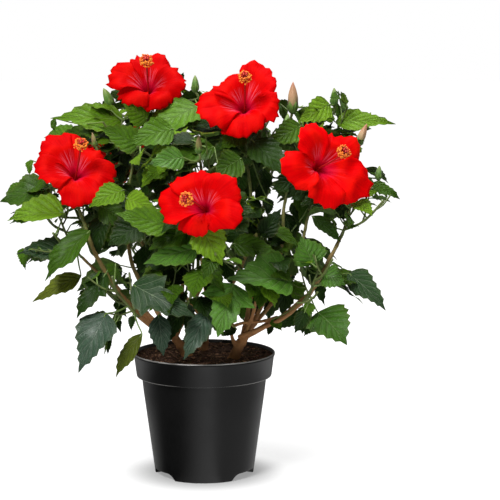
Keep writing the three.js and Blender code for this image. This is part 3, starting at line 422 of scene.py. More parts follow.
# leaves that reach out of the crown or show at its front, placed one by one; what a row leaves out is drawn
placedLeaves = {
    "mass_left_high": [
        dict(base=(-89, -84, 350), tip=(-128, -104, 333), width=0.62, tone="Bright"),
        dict(base=(-71, -60, 306), tip=(-108, -84, 286), width=0.85, tone="Dark"),
    ],
    "mass_left_tip": [
        dict(base=(-183, -45, 346), tip=(-238, -45, 329), outline="ovate", tone="Mid", width=0.7, back=0.1,
             tint=0.0),
        dict(base=(-158, -80, 323), tip=(-223, -80, 314), outline="broad", tone="Bright", width=0.64,
             fold=0.5, lean=(0, 0.6, 0.3), tint=0.6),
        dict(base=(-158, -62, 279), tip=(-214, -78, 278), outline="broad", tone="Cool", width=0.5, tint=0.0),
        dict(base=(-128, -85, 303), tip=(-179, -98, 247), outline="slender", tone="Mid", width=0.42,
             fold=0.4, tint=0.2),
        dict(base=(-141, -62, 248), tip=(-197, -64, 216), outline="ovate", tone="Olive", width=0.38,
             tint=1.1),
        dict(base=(-114, -52, 317), tip=(-123, -64, 268), width=0.55, tone="Dark"),
    ],
    "mass_left_low": [
        dict(base=(-109, -96, 255), tip=(-141, -110, 205), outline="lobed", tone="Dark", width=0.52),
        dict(base=(-109, -102, 210), tip=(-136, -125, 145), outline="broad", tone="Blue", width=0.6),
        dict(base=(-69, -92, 185), tip=(-101, -102, 137), outline="slender", tone="Olive", width=0.32),
    ],
    "mass_front_low": [
        dict(base=(-66, -110, 238), tip=(-8, -137, 209), outline="lobed", tone="Cool", width=0.54, back=0.2,
             tint=0.0),
        dict(base=(-50, -86, 206), tip=(-42, -99, 161), outline="slender", tone="Blue", width=0.55),
        dict(base=(5, -102, 209), tip=(-19, -117, 159), outline="slender", tone="Blue", width=0.44, back=0.1),
        dict(base=(34, -97, 238), tip=(18, -125, 187), outline="lobed", tone="Fresh", width=0.8, back=0.1,
             tint=1.1, lean=(0, 0, 0.4)),
        dict(base=(-4, -96, 285), tip=(-66, -118, 272), width=0.5, tone="Fresh"),
    ],
    "mass_middle_right": [
        dict(base=(102, -98, 247), tip=(29, -125, 251), outline="broad", tone="Fresh", width=0.69,
             fold=0.45, lean=(0, 0.6, 0.3), tint=0.6),
        dict(base=(68, -96, 298), tip=(90, -92, 330), outline="ovate", tone="Dark", width=0.6),
        dict(base=(35, -92, 289), tip=(87, -104, 282), width=0.5, tone="Mid"),
    ],
    "mass_right_low": [
        dict(base=(127, -84, 264), tip=(113, -78, 296), outline="broad", tone="Fresh", width=1.12,
             lean=(0, -2, 0)),
        dict(base=(140, -86, 254), tip=(165, -97, 243), outline="broad", tone="Fresh", width=0.95,
             lean=(0, -2, 0)),
        dict(base=(169, -56, 250), tip=(213, -60, 207), outline="broad", tone="Cool", width=0.56, tint=0.4),
        dict(base=(133, -86, 209), tip=(166, -112, 176), outline="broad", tone="Fresh", width=1.0, tint=0.2),
        dict(base=(122, -44, 254), tip=(143, -56, 212), width=0.4, tone="Dark"),
    ],
    "mass_right_high": [
        dict(base=(177, -62, 334), tip=(195, -78, 319), outline="ovate", tone="Bright", width=0.85),
        dict(base=(195, -40, 353), tip=(234, -40, 334), outline="slender", tone="Mid", width=0.4),
        dict(base=(127, -58, 317), tip=(160, -66, 287), width=0.42, tone="Dark"),
    ],
    "mass_front": [
        dict(base=(-35, -124, 313), tip=(-96, -136, 328), outline="ovate", tone="Mid", width=0.5),
        dict(base=(3, -146, 311), tip=(23, -155, 272), outline="ovate", tone="Bright", width=0.8, back=0.1),
        dict(base=(-86, -88, 341), tip=(-50, -112, 329), width=0.6, tone="Bright"),
    ],
    "mass_upper_middle": [
        dict(base=(-33, -68, 418), tip=(-86, -86, 404), outline="broad", tone="Mid", width=0.6, tint=0.7),
        dict(base=(-20, -96, 388), tip=(-62, -114, 382), outline="broad", tone="Fresh", width=0.6),
        dict(base=(45, -70, 385), tip=(14, -92, 368), width=0.85, tone="Mid"),
        dict(base=(-59, -72, 379), tip=(-23, -92, 392), width=0.8, tone="Bright"),
        dict(base=(-44, -80, 375), tip=(-63, -98, 360), width=0.75, tone="Bright"),
        dict(base=(14, -60, 397), tip=(-32, -80, 384), width=0.55, tone="Mid"),
    ],
    "mass_top_left": [
        dict(base=(-115, 2, 424), tip=(-180, -5, 424), outline="broad", tone="Bright", width=0.46,
             back=0.32, tint=0.2),
        dict(base=(-66, -8, 426), tip=(-93, -20, 445), width=0.95, tone="Bright"),
        dict(base=(-5, -2, 441), tip=(-61, -34, 410), width=0.62, tone="Mid", tint=1.1),
        dict(base=(-75, -24, 396), tip=(-120, -40, 420), width=0.6, tone="Mid"),
    ],
    "mass_top_right": [
        dict(base=(57, -30, 403), tip=(94, -50, 363), width=0.75, tone="Dark"),
    ],
    "mass_right_top": [
        dict(base=(157, 18, 421), tip=(228, 10, 421), outline="broad", tone="Bright", width=0.38),
        dict(base=(149, 2, 443), tip=(110, -18, 423), width=0.6, tone="Bright"),
        dict(base=(115, -6, 418), tip=(76, -26, 398), width=0.6, tone="Mid"),
    ],
}

# leaves that close the depth of the crown behind the front ones, most in the dark tone as painted shade:
# base, tip, width, tone
fillLeaves = [
    ((69, -5, 227), (57, -11, 190), 0.6, "Dark"), ((81, 12, 229), (77, 6, 182), 0.58, "Dark"),
    ((97, 2, 228), (92, -4, 189), 0.6, "Dark"), ((103, -22, 235), (118, -28, 207), 0.72, "Mid"),
    ((114, -30, 201), (88, -36, 182), 0.55, "Dark"), ((81, -60, 196), (92, -66, 184), 0.85, "Mid"),
    ((55, 0, 212), (50, -6, 182), 0.55, "Dark"), ((39, -40, 182), (21, -46, 174), 0.5, "Dark"),
    ((55, 40, 367), (48, 34, 324), 0.6, "Dark"), ((71, 55, 363), (62, 49, 320), 0.6, "Dark"),
    ((43, 30, 360), (39, 24, 327), 0.6, "Dark"), ((105, 20, 324), (114, 14, 292), 0.6, "Dark"),
    ((22, -10, 259), (34, -16, 229), 0.6, "Dark"), ((-100, -40, 217), (-90, -46, 196), 0.6, "Dark"),
    ((-64, 20, 372), (-69, 14, 328), 0.6, "Dark"), ((-54, 30, 363), (-52, 24, 325), 0.55, "Dark"),
    ((-89, -20, 240), (-88, -26, 222), 0.6, "Dark"), ((91, 10, 443), (95, 4, 423), 0.6, "Mid"),
    ((121, -30, 207), (113, -36, 184), 0.8, "Mid"), ((109, 10, 436), (112, 4, 422), 0.6, "Mid"),
    ((-3, -10, 216), (-1, -16, 200), 0.6, "Dark"), ((-208, -62, 280), (-208, -68, 263), 0.7, "Mid"),
    ((79, -28, 185), (76, -34, 173), 0.7, "Dark"), ((-99, -40, 192), (-96, -46, 178), 0.5, "Dark"),
    ((112, 22, 336), (120, 26, 292), 0.7, "Mid"), ((96, 20, 312), (104, 6, 270), 0.7, "Dark"),
    ((84, 26, 286), (88, 40, 244), 0.7, "Dark"), ((104, 12, 290), (112, 26, 250), 0.6, "Mid"),
    ((72, 18, 262), (74, 6, 224), 0.7, "Dark"), ((145, 30, 322), (147, 20, 300), 0.8, "Mid"),
    ((60, 30, 250), (58, 44, 214), 0.6, "Dark"), ((98, 34, 262), (106, 18, 226), 0.65, "Dark"),
    ((-100, 18, 330), (-112, 4, 290), 0.7, "Mid"), ((-92, 10, 300), (-100, 24, 260), 0.7, "Dark"),
    ((-118, 24, 300), (-134, 10, 262), 0.7, "Fresh"), ((-70, 20, 274), (-68, 6, 236), 0.7, "Dark"),
    ((-70, 10, 250), (-66, 26, 212), 0.6, "Dark"), ((-112, 12, 344), (-124, 24, 308), 0.6, "Mid"),
    ((-87, 50, 431), (-88, 44, 408), 0.8, "Dark"), ((-107, 40, 401), (-106, 34, 377), 0.8, "Dark"),
    ((-69, 40, 389), (-70, 34, 367), 0.8, "Dark"), ((-99, 40, 369), (-99, 34, 346), 0.8, "Dark"),
    ((118, -30, 193), (116, -36, 175), 0.7, "Dark"), ((-80, -80, 204), (-82, -86, 187), 0.5, "Dark"),
    ((-104, -100, 186), (-107, -106, 162), 0.3, "Dark"), ((128, -40, 190), (118, -46, 174), 0.7, "Dark"),
    ((-177, 10, 426), (-176, 4, 410), 0.6, "Mid"), ((-202, -20, 379), (-202, -26, 361), 0.6, "Mid"),
    ((75, 0, 332), (76, -6, 311), 0.7, "Dark"), ((-207, -40, 273), (-208, -46, 252), 0.6, "Mid"),
    ((-100, -20, 254), (-99, -26, 233), 0.6, "Dark"), ((-62, 20, 433), (-60, 14, 414), 0.7, "Mid"),
    ((-28, -74, 210), (-35, -80, 174), 0.55, "Dark"), ((-17, -74, 217), (-18, -80, 183), 0.5, "Dark"),
    ((-38, 34, 392), (-20, 52, 372), 0.8, "Mid"), ((-14, 22, 398), (8, 38, 380), 0.8, "Mid"),
    ((14, 30, 384), (34, 50, 366), 0.8, "Dark"), ((40, 20, 388), (62, 34, 372), 0.8, "Mid"),
    ((66, 30, 378), (84, 50, 360), 0.8, "Mid"), ((-60, 22, 398), (-76, 42, 382), 0.8, "Mid"),
    ((0, 48, 366), (18, 64, 350), 0.8, "Dark"), ((-30, 12, 376), (-12, 26, 356), 0.8, "Dark"),
]

# places where white shows through the crown: a point on the line of sight, and the radius that stays open
openings = [
    (-158, -60, 296, 9), (-133, -60, 284, 10), (-88, -30, 258, 9), (134, 0, 300, 13), (108, 0, 312, 10),
    (100, 0, 420, 10), (221, -60, 281, 44), (-178, -60, 189, 32), (-152, 0, 472, 34), (131, 0, 466, 19),
    (-211, -60, 296, 14), (-190, -60, 303, 10), (213, 0, 394, 22), (247, 0, 361, 26), (170, -60, 272, 13),
    (208, 0, 479, 46), (10, 0, 495, 23), (-111, -60, 216, 8), (216, -60, 317, 13), (-124, -60, 141, 12),
    (198, 0, 376, 9), (180, -60, 316, 6), (163, -60, 220, 6), (183, 0, 442, 10), (-235, -60, 244, 31),
    (93, 0, 471, 8), (-205, 0, 387, 8), (-196, -60, 247, 10), (-129, 0, 452, 8), (-108, -60, 216, 6),
    (-149, -60, 317, 6), (-181, -60, 299, 6), (112, -60, 242, 5), (-130, -60, 209, 5),
    (-197, -60, 291, 5.17), (116, 0, 449, 5), (96, 0, 421, 6), (-151, -60, 263, 5), (-139, -60, 200, 5),
    (-165, -60, 308, 4), (-94, -60, 179, 4), (30, -40, 164, 5), (-1, 0, 466, 5.17), (-118, -60, 213, 6),
    (-185, -60, 310, 5), (160, -60, 306, 4), (184, 0, 434, 4), (81, 0, 419, 4), (88, 0, 318, 4),
    (-109, 0, 465, 4), (-19, 0, 465, 4), (-196, -60, 310, 4), (-75, -60, 278, 4), (-30, 0, 452, 3),
    (135, 0, 449, 4), (-182, -60, 299, 6.32), (-118, -60, 217, 5.75), (148, -60, 285, 5.17),
    (-185, -60, 312, 5.17), (-82, -60, 256, 5.17), (103, -60, 330, 5.17), (126, -60, 302, 5.17),
    (220, -60, 348, 5.17), (-85, -60, 272, 5.17), (124, 0, 456, 6.9), (181, 0, 447, 4.6),
    (25, -100, 172, 7), (-80, -60, 247, 6), (-98, -60, 267, 5), (-183, -60, 298, 7), (64, -100, 262, 9),
    (-112, -100, 201, 9), (108, 0, 296, 5),
]


# how the shrub grows: the same named sizes and the same seeded rule as its solids, in millimetres

clearance = 0.3
leafRule = dict(
    length=72, widthShare=0.7, lean=1.25, hang=0.7, leastShare=0.5, spacing=5.5, tries=24, fold=0.16,
    rootGap=8,
)
shootRule = dict(tipRadius=1.3, nodeStep=15, turn=2.4, sideRadius=1.6, tries=12)
blossomRule = dict(radius=51, throatDepth=15, flare=13, calyxLength=28, column=46, bowlHeight=95)
gaps = dict(
    leafToLimb=3.6, stalkToLimb=2, shootToLimb=3.5, leafToShoot=4.5, stalkToLeaf=4, ownShoot=9, inPicture=4.0,
)
potEdge = dict(radius=89, height=150.5)
crownEdge = dict(left=-239, right=237, front=-206, back=214, top=510, bottom=60)
eyePoint, eyeAim = np.array([55.0, -2200.0, 556.0]), np.array([55.0, 0.0, 270.0])
up = np.array([0.0, 0.0, 1.0])
extra = dict(  # the finer twigs and smaller leaves that are grown on
    shoots=3, shootRadius=1.1, shootShare=0.55,
    leaves=26, length=54, leastShare=0.4, spacing=2.4, limbGap=2.0,
    hangLow=0.65, hangHigh=0.1, hangFrom=250, hangTo=420, tuftLeaves=2, tuftLeast=11, tuftMore=16,
)
placedDroop, fillDroop, tuftDroop = 0.5, 0.6, 0.4


def vec(spot):
    return np.array(spot, float)


def unit(v):
    return v / np.linalg.norm(v)


def drawsFrom(seed):
    state = seed & 0xFFFFFFFF

    def draw():
        nonlocal state
        state = (state * 1664525 + 1013904223) & 0xFFFFFFFF
        return state / 4294967296

    for warm in range(4):
        draw()
    return draw


def squareTo(axis, wanted):  # a unit vector square to an axis, as near as it can be to a wanted one
    side = wanted - axis * np.dot(wanted, axis)
    if np.dot(side, side) < 1e-6:
        side = np.array([axis[1], axis[2], axis[0]]) - axis * 0.5
    return unit(side)


def pointOn(path, along):  # a smooth curve through points, along it from 0 to 1
    last = len(path) - 1
    place = last * along
    part = min(int(place), last - 1)
    weight = place - part
    before = path[part - 1] if part > 0 else 2 * path[0] - path[1]
    after = path[part + 2] if part + 2 <= last else 2 * path[last] - path[last - 1]
    here, there = path[part], path[part + 1]
    leave, arrive = 0.5 * (there - before), 0.5 * (after - here)
    square, cube = weight * weight, weight ** 3
    bend = -3 * here + 3 * there - 2 * leave - arrive
    swing = 2 * here - 2 * there + leave + arrive
    return here + leave * weight + bend * square + swing * cube


def headingOn(path, along):
    early, late = max(0.0, along - 0.0001), min(1.0, along + 0.0001)
    return unit(pointOn(path, late) - pointOn(path, early))


def lengthOf(path):
    spots = np.array([pointOn(path, i / 200) for i in range(201)])
    return float(np.linalg.norm(np.diff(spots, axis=0), axis=1).sum())


limbs = {
    name: dict(radii=radii, path=[vec(spot) for spot in path], flared=name in stems)
    for name, (radii, path) in {**stems, **boughs}.items()
}


def limbRadius(limb, along):
    radius = limb["radii"][0] + (limb["radii"][1] - limb["radii"][0]) * along
    return radius * (1 + (0.3 * max(0.0, 1 - along / 0.31) ** 2 if limb["flared"] else 0))


limbSpots, limbRadii = [], []
for limb in limbs.values():
    count = math.ceil(lengthOf(limb["path"]) / 4)
    for i in range(count + 1):
        limbSpots.append(pointOn(limb["path"], i / count))
        limbRadii.append(limbRadius(limb, i / count))
limbSpots, limbRadii = np.array(limbSpots), np.array(limbRadii)

spaces = {}
for name, mass in masses.items():
    centre, radius = vec(mass["ball"][:3]), mass["ball"][3]
    normals, limits = [], []
    for otherName, other in masses.items():
        if otherName == name:
            continue
        towards = vec(other["ball"][:3]) - centre
        apart = np.linalg.norm(towards)
        towards /= apart
        reach = (apart * apart + radius ** 2 - other["ball"][3] ** 2) / (2 * apart)
        normals.append(towards)
        limits.append(np.dot(centre, towards) + reach - clearance / 2)
    spaces[name] = dict(centre=centre, radius=radius, normals=np.array(normals), limits=np.array(limits))

skyLines = []
for *past, radius in openings:
    line = vec(past) - eyePoint
    skyLines.append((unit(line), np.linalg.norm(line), radius))
blossoms = {name: mass["blossom"] for name, mass in masses.items() if "blossom" in mass}
bowls = [(vec(at), unit(vec(faces))) for at, faces in blossoms.values()]


def seesSky(spots):
    for line, away, radius in skyLines:
        offset = spots - eyePoint
        along = offset @ line
        aside = np.linalg.norm(offset - along[:, None] * line, axis=1)
        if (aside < radius * along / away).any():
            return True
    return False


def inSpace(space, spots, slack=1.0):
    x, y, z = spots.T
    if (np.linalg.norm(spots - space["centre"], axis=1) > space["radius"] * slack).any():
        return False
    if (spots @ space["normals"].T > space["limits"]).any():
        return False
    if ((np.hypot(x, y) < potEdge["radius"]) & (z < potEdge["height"])).any():
        return False
    if x.min() < crownEdge["left"] or x.max() > crownEdge["right"]:
        return False
    if y.min() < crownEdge["front"] or y.max() > crownEdge["back"]:
        return False
    return z.min() > crownEdge["bottom"] and z.max() < crownEdge["top"]


def inBowl(spots, margin):
    for at, faces in bowls:
        offset = spots - at
        height = offset @ faces
        aside = np.linalg.norm(offset - height[:, None] * faces, axis=1)
        inside = (height > -blossomRule["throatDepth"] - margin) & (height < blossomRule["bowlHeight"])
        if (inside & (aside < blossomRule["radius"] + 3 + margin)).any():
            return True
    return False


def bladePoints(blade, u, v, half, lift=0.0):  # u from stalk to tip, v across from -1 to 1
    u, v, half = np.broadcast_arrays(np.asarray(u, float), v, half)
    turn = (blade["droop"] * u)[:, None]
    radius = blade["length"] / blade["droop"]
    middle = blade["base"] + blade["along"] * radius * np.sin(turn)
    middle = middle - blade["up"] * radius * (1 - np.cos(turn))
    face = blade["up"] * np.cos(turn) + blade["along"] * np.sin(turn)
    folded = np.abs(v) * half * blade["fold"] + lift
    return middle + blade["side"] * (v * half)[:, None] + face * folded[:, None]


spotRows = [(0.02, (0.0,), 0.1), (0.28, (-1, -0.45, 0, 0.45, 1), 0.95), (0.5, (-1, -0.45, 0, 0.45, 1), 0.98),
            (0.74, (-1, -0.45, 0, 0.45, 1), 0.66), (1.0, (0.0,), 0.0)]
spotTable = np.array([(u, v, share) for u, across, share in spotRows for v in across])
closeTable = np.array([
    (i / 9, v, math.sin(math.pi * min(1, 0.12 + i * 0.098)))
    for i in range(10) for v in (-1, -0.66, -0.33, 0, 0.33, 0.66, 1)
])


def spotsOf(blade, table):
    return bladePoints(blade, table[:, 0], table[:, 1], table[:, 2] * blade["width"] / 2)


def stalkSpots(blade):
    return np.array([blade["root"] + (blade["base"] - blade["root"]) * share for share in (0.25, 0.5, 0.75)])


def makeBlade(root, base, tip, outward, width, droop):
    along = tip - base
    length = np.linalg.norm(along) / (math.sin(droop / 2) / (droop / 2))
    along = unit(along)
    lifted = squareTo(along, outward)
    side = np.cross(along, lifted)
    half = droop / 2
    return dict(
        root=root, base=base, length=length, width=width, droop=droop, fold=leafRule["fold"], side=side,
        along=along * math.cos(half) + lifted * math.sin(half),
        up=lifted * math.cos(half) - along * math.sin(half), look={},
    )


def faceOutward(point):
    level = np.array([point[0], point[1], 0.0]) / 110
    if np.linalg.norm(level) > 1:
        level = unit(level)
    return unit(level * leafRule["lean"] + up)


def anyNear(some, others, gap):
    if len(some) == 0 or len(others) == 0:
        return False
    return bool((np.linalg.norm(some[:, None] - others[None], axis=2) < gap).any())


eyeAhead = unit(eyeAim - eyePoint)
eyeUp = squareTo(eyeAhead, up)
eyeRight = np.cross(eyeAhead, eyeUp)


def asSeen(points):  # where points stand in the picture, scaled to the shrub, and how far off they are
    offset = points - eyePoint
    away = offset @ eyeAhead
    return np.stack([offset @ eyeRight / away, offset @ eyeUp / away], axis=1) * -eyePoint[1], away


def keepInView(points):
    seen, away = asSeen(points)
    middle = seen.mean(axis=0)
    inView.append((seen, middle, np.linalg.norm(seen - middle, axis=1).max(), away.mean()))


def hidesKept(points):  # whether a leaf would stand before one that the picture shows whole
    seen, away = asSeen(points)
    middle = seen.mean(axis=0)
    reach = np.linalg.norm(seen - middle, axis=1).max()
    for keptSeen, keptMiddle, keptReach, keptAway in inView:
        if away.mean() > keptAway - 3 or np.linalg.norm(middle - keptMiddle) > reach + keptReach:
            continue
        if anyNear(seen, keptSeen, gaps["inPicture"]):
            return True
    return False


inView, placedBlades = [], {}
middleTable = closeTable[np.abs(closeTable[:, 1]) < 0.7]
for name in masses:
    placedBlades[name] = []
    for look in placedLeaves.get(name, ()):
        base, tip = vec(look["base"]), vec(look["tip"])
        base = base - (tip - base) * look.get("back", 0)
        outward = faceOutward(base) + np.array([0, -1.0 if base[1] < 40 else 0, 0])
        blade = makeBlade(base, base, tip, outward + vec(look.get("lean", (0, 0, 0))), 0, placedDroop)
        blade["width"] = blade["length"] * look["width"]
        blade["look"], blade["fold"] = look, look.get("fold", leafRule["fold"])
        placedBlades[name].append(blade)
        keepInView(spotsOf(blade, middleTable))
for name in ("bough_right_low", "bough_right_high", "bough_left_high"):  # the picture shows these boughs bare
    for i in range(2, 23):
        keepInView(np.array([pointOn(limbs[name]["path"], (i + share) / 24) for share in (-0.3, 0, 0.3)]))
for at, faces in bowls:
    if faces[1] < 0:
        ring = [(share, turn) for share in (0, 0.45, 0.85) for turn in np.arange(0, 6.28, 0.52)]
        side = squareTo(faces, up)
        across = np.cross(side, faces)
        ring = [(side * math.sin(turn) + across * math.cos(turn)) * share for share, turn in ring]
        keepInView(at + np.array(ring) * blossomRule["radius"])


def bladeFits(blade, plan, spacing, limbGap):
    spots = spotsOf(blade, spotTable)
    stalk = stalkSpots(blade)
    every = np.vstack([spots, stalk])
    if not inSpace(plan["space"], every) or inBowl(every, 0) or seesSky(spots):
        return False
    reach = blade["length"] * 0.75
    middle = spots[8]
    close = spotsOf(blade, closeTable)
    if hidesKept(close):
        return False
    near = np.linalg.norm(limbSpots - middle, axis=1) <= reach + limbRadii + 2
    if near.any():
        at, radius = limbSpots[near], limbRadii[near]
        if (np.linalg.norm(close[:, None] - at[None], axis=2) < radius + limbGap).any():
            return False
        if (np.linalg.norm(stalk[:, None] - at[None], axis=2) < radius + gaps["stalkToLimb"]).any():
            return False
    for line in plan["lines"]:
        away = np.linalg.norm(line["points"] - blade["root"], axis=1) > gaps["ownShoot"]
        if anyNear(close, line["points"][away], gaps["leafToShoot"]):
            return False
    for other in plan["spots"]:
        if np.linalg.norm(other["middle"] - middle) > reach + other["reach"]:
            continue
        if anyNear(close, other["spots"], spacing) or anyNear(stalk, other["spots"], gaps["stalkToLeaf"]):
            return False
    return True


def keepBlade(blade, plan):
    spots = spotsOf(blade, spotTable)
    plan["blades"].append(blade)
    plan["spots"].append(dict(middle=spots[8], reach=blade["length"] * 0.75, spots=spots))


def shootLine(path, radii, bare):
    count = max(3, math.ceil(lengthOf(path) / 6))
    points = np.array([pointOn(path, i / count) for i in range(count + 1)])
    return dict(path=path, radii=radii, bare=bare, points=points)


def shootClear(spots, plan):
    if not inSpace(plan["space"], spots, 0.96) or inBowl(spots, 2) or seesSky(spots):
        return False
    away = np.linalg.norm(spots[:, None] - limbSpots[None], axis=2)
    return bool((away > limbRadii + gaps["shootToLimb"]).all())


def springPoint(place, plan, leastRise):  # where on the shoots a stalk to this place starts
    best = None
    for line in plan["lines"]:
        for i in range(2, 13):
            at = pointOn(line["path"], i / 12)
            if np.linalg.norm(at - plan["start"]) < leafRule["rootGap"]:
                continue
            cost = np.linalg.norm(at - place) + max(0, leastRise - (place[2] - at[2])) * 0.6
            if best is None or cost < best[0]:
                best = (cost, at)
    return best[1]


def growShoots(plan, parent, count, lowest, radius, draw, share=1.0):
    for i in range(count):
        along = lowest + (0.95 - lowest) * (i + 0.5) / count
        start = pointOn(parent, along)
        tangent = headingOn(parent, along)
        side = squareTo(tangent, plan["space"]["centre"] - start + np.array([0, 0, 30.0]))
        across = np.cross(tangent, side)
        for attempt in range(shootRule["tries"]):
            angle = i * shootRule["turn"] + attempt * 1.1 + draw() * 0.5
            length = plan["space"]["radius"] * (0.62 + 0.25 * draw()) * (1 - attempt * 0.04) * share
            away = side * math.cos(angle) + across * math.sin(angle)
            away = unit(away + tangent * 0.5 + np.array([0, 0, 0.25]))
            end = start + away * length
            middle = (start + end) / 2 - np.array([0, 0, length * 0.1])
            path = [start, middle, end]
            if shootClear(np.array([pointOn(path, part) for part in (0.3, 0.5, 0.7, 0.85, 1)]), plan):
                tipRadius = shootRule["tipRadius"] * radius / shootRule["sideRadius"]
                plan["lines"].append(shootLine(path, (radius, tipRadius), False))
                break


def growLeaves(plan, total, rule, limbGap, draw, lines, finer=False):
    turn = draw() * 6
    nodes = []
    for line in lines:
        count = max(2, math.floor(lengthOf(line["path"]) / shootRule["nodeStep"] + 0.5))
        for i in range(1, count + 1):
            if np.linalg.norm(pointOn(line["path"], i / count) - plan["start"]) > leafRule["rootGap"]:
                nodes.append((line, i / count))
    for lap in range(4):
        for line, along in nodes:
            if len(plan["blades"]) >= total:
                return
            turn += shootRule["turn"]
            root = pointOn(line["path"], along)
            tangent = headingOn(line["path"], along)
            side = squareTo(tangent, up)
            across = np.cross(tangent, side)
            for attempt in range(leafRule["tries"]):
                share = 1 - (attempt / leafRule["tries"]) * (1 - rule["leastShare"])
                size = rule["length"] * share * (0.86 + 0.24 * draw())
                angle = turn + attempt * shootRule["turn"]
                away = unit(side * math.cos(angle) + across * math.sin(angle) + tangent * 0.7)
                base = root + away * size * (0.22 + 0.3 * draw())
                hang = leafRule["hang"]
                if finer:
                    heights = (extra["hangFrom"], extra["hangTo"])
                    hangs = (extra["hangLow"], extra["hangHigh"])
                    hang = np.interp(base[2], heights, hangs)
                away[2] = away[2] * 0.4 - hang * (0.5 + draw())
                away = unit(away)
                droop = 0.3 + 0.6 * draw()
                tip = base + away * size
                outward = faceOutward(base) + np.array([draw() - 0.5, draw() - 0.5, 0.0])
                width = size * leafRule["widthShare"] * (0.9 + 0.2 * draw())
                blade = makeBlade(root, base, tip, outward, width, droop)
                if bladeFits(blade, plan, rule["spacing"], limbGap):
                    keepBlade(blade, plan)
                    break


def onLine(roots, line):  # whether any stalk starts on it
    spots = np.array([pointOn(line["path"], (i + 1) / 30) for i in range(30)])
    return anyNear(roots, spots, 1.6)


def growMass(name):
    mass = masses[name]
    draw = drawsFrom(mass["seed"] * 7919)
    limb = limbs[mass.get("bough", name.replace("mass", "bough"))]
    end, heading = pointOn(limb["path"], 1), headingOn(limb["path"], 1)
    start = end + heading * clearance
    lead = [start, start + heading * 5] + [vec(spot) for spot in mass["lead"]]
    plan = dict(space=spaces[name], start=start, blades=[], spots=[], tufts=[])
    plan["lines"] = [shootLine(lead, (limb["radii"][1] * 0.98, shootRule["tipRadius"]), False)]

    heads = [(vec(at), unit(vec(faces)), 1.5) for at, faces, length in mass.get("buds", ())]
    if name in blossoms:
        at, faces = vec(blossoms[name][0]), unit(vec(blossoms[name][1]))
        heads.insert(0, (at - faces * blossomRule["calyxLength"], faces, 1.8))
    for foot, faces, radius in heads:
        path = [springPoint(foot, plan, 14), foot - faces * 8, foot + faces * 2]
        plan["lines"].append(shootLine(path, (radius, radius), True))
    growShoots(plan, lead, mass["shoots"], 0.25, shootRule["sideRadius"], draw)
    for blade in placedBlades[name]:
        blade["root"] = springPoint(blade["base"], plan, 0)
        keepBlade(blade, plan)
    growing = [line for line in plan["lines"] if not line["bare"]]
    growLeaves(plan, mass["leaves"] + len(placedBlades[name]), leafRule, gaps["leafToLimb"], draw, growing)

    # finer twigs within the same space, with smaller leaves, and a tuft of young ones at each end
    first = len(plan["lines"])
    finer = (extra["shootRadius"], draw, extra["shootShare"])
    for line in growing[1:]:
        growShoots(plan, line["path"], extra["shoots"] - 1, 0.3, *finer)
    growShoots(plan, lead, extra["shoots"], 0.35, *finer)
    growing = plan["lines"][first:] + growing
    wanted = len(plan["blades"]) + extra["leaves"]
    growLeaves(plan, wanted, extra, extra["limbGap"], draw, growing, finer=True)
    roots = np.array([blade["root"] for blade in plan["blades"]])
    # twigs that bear no leaf go
    bare = [id(line) for line in plan["lines"][first:] if not onLine(roots, line)]
    plan["lines"] = [line for line in plan["lines"] if id(line) not in bare]
    for line in growing:
        if id(line) in bare:
            continue
        for i in range(extra["tuftLeaves"]):
            root = pointOn(line["path"], 1 - 0.05 * i)
            tangent = headingOn(line["path"], 1)
            side = squareTo(tangent, up)
            angle = i * shootRule["turn"] + draw() * 6
            away = side * math.cos(angle) + np.cross(tangent, side) * math.sin(angle)
            away = unit(away + tangent * (0.6 + draw()))
            size = extra["tuftLeast"] + extra["tuftMore"] * draw()
            base = root + away * size * 0.25
            tip = base + unit(away - np.array([0, 0, 0.35 * draw()])) * size
            outward, width = unit(up + tangent * 0.4), size * (0.42 + 0.14 * draw())
            blade = makeBlade(root, base, tip, outward, width, tuftDroop)
            spots = spotsOf(blade, spotTable)
            blocked = inBowl(spots, 0) or seesSky(spots) or hidesKept(spots)
            if inSpace(plan["space"], spots, 1.05) and not blocked:
                plan["tufts"].append(blade)
    return plan


plans = {name: growMass(name) for name in masses}
for base, tip, width, tone in fillLeaves:
    base, tip = vec(base), vec(tip)
    near = min(masses, key=lambda name: np.linalg.norm(spaces[name]["centre"] - base))
    root, outward = springPoint(base, plans[near], 0), faceOutward(base) + np.array([0, -1.0, 0])
    blade = makeBlade(root, base, tip, outward, 0, fillDroop)
    blade["width"], blade["look"] = blade["length"] * width, dict(tone=tone)
    plans[near]["blades"].append(blade)
for plan in plans.values():  # a leaf that would pass the crown's edge is a smaller one
    for blade in plan["blades"]:
        for attempt in range(12):
            spots = spotsOf(blade, closeTable)
            if (spots > boxLow + 2.0).all() and (spots < boxHigh - 2.0).all():
                break
            blade["length"], blade["width"] = blade["length"] * 0.95, blade["width"] * 0.95
print("grown:", sum(len(plan["blades"]) for plan in plans.values()), "leaves and",
      sum(len(plan["tufts"]) for plan in plans.values()), "young ones on",
      sum(len(plan["lines"]) for plan in plans.values()), "shoots")


# shared ways of building a piece

def moveIn(thing, points):
    thing.data.vertices.foreach_set("co", np.asarray(points, float).ravel())
    thing.data.update()


def pointsOf(thing):
    points = np.empty(len(thing.data.vertices) * 3)
    thing.data.vertices.foreach_get("co", points)
    return points.reshape(-1, 3)


def editMode(on=True):
    bpy.ops.object.mode_set(mode="EDIT" if on else "OBJECT")


def editAll():
    editMode()
    bpy.ops.mesh.select_all(action="SELECT")


def editTop(thing):  # edit mode with only the faces that look up selected
    editMode()
    bpy.ops.mesh.select_all(action="DESELECT")
    editMode(False)
    for face in thing.data.polygons:
        face.select = face.normal.z > 0.9
    editMode()


def pattern(thing):  # a modelled thing's points and faces, to be laid many times, and the thing itself goes
    points = pointsOf(thing)
    faces = [tuple(face.vertices) for face in thing.data.polygons]
    bpy.data.objects.remove(thing)
    return points, faces


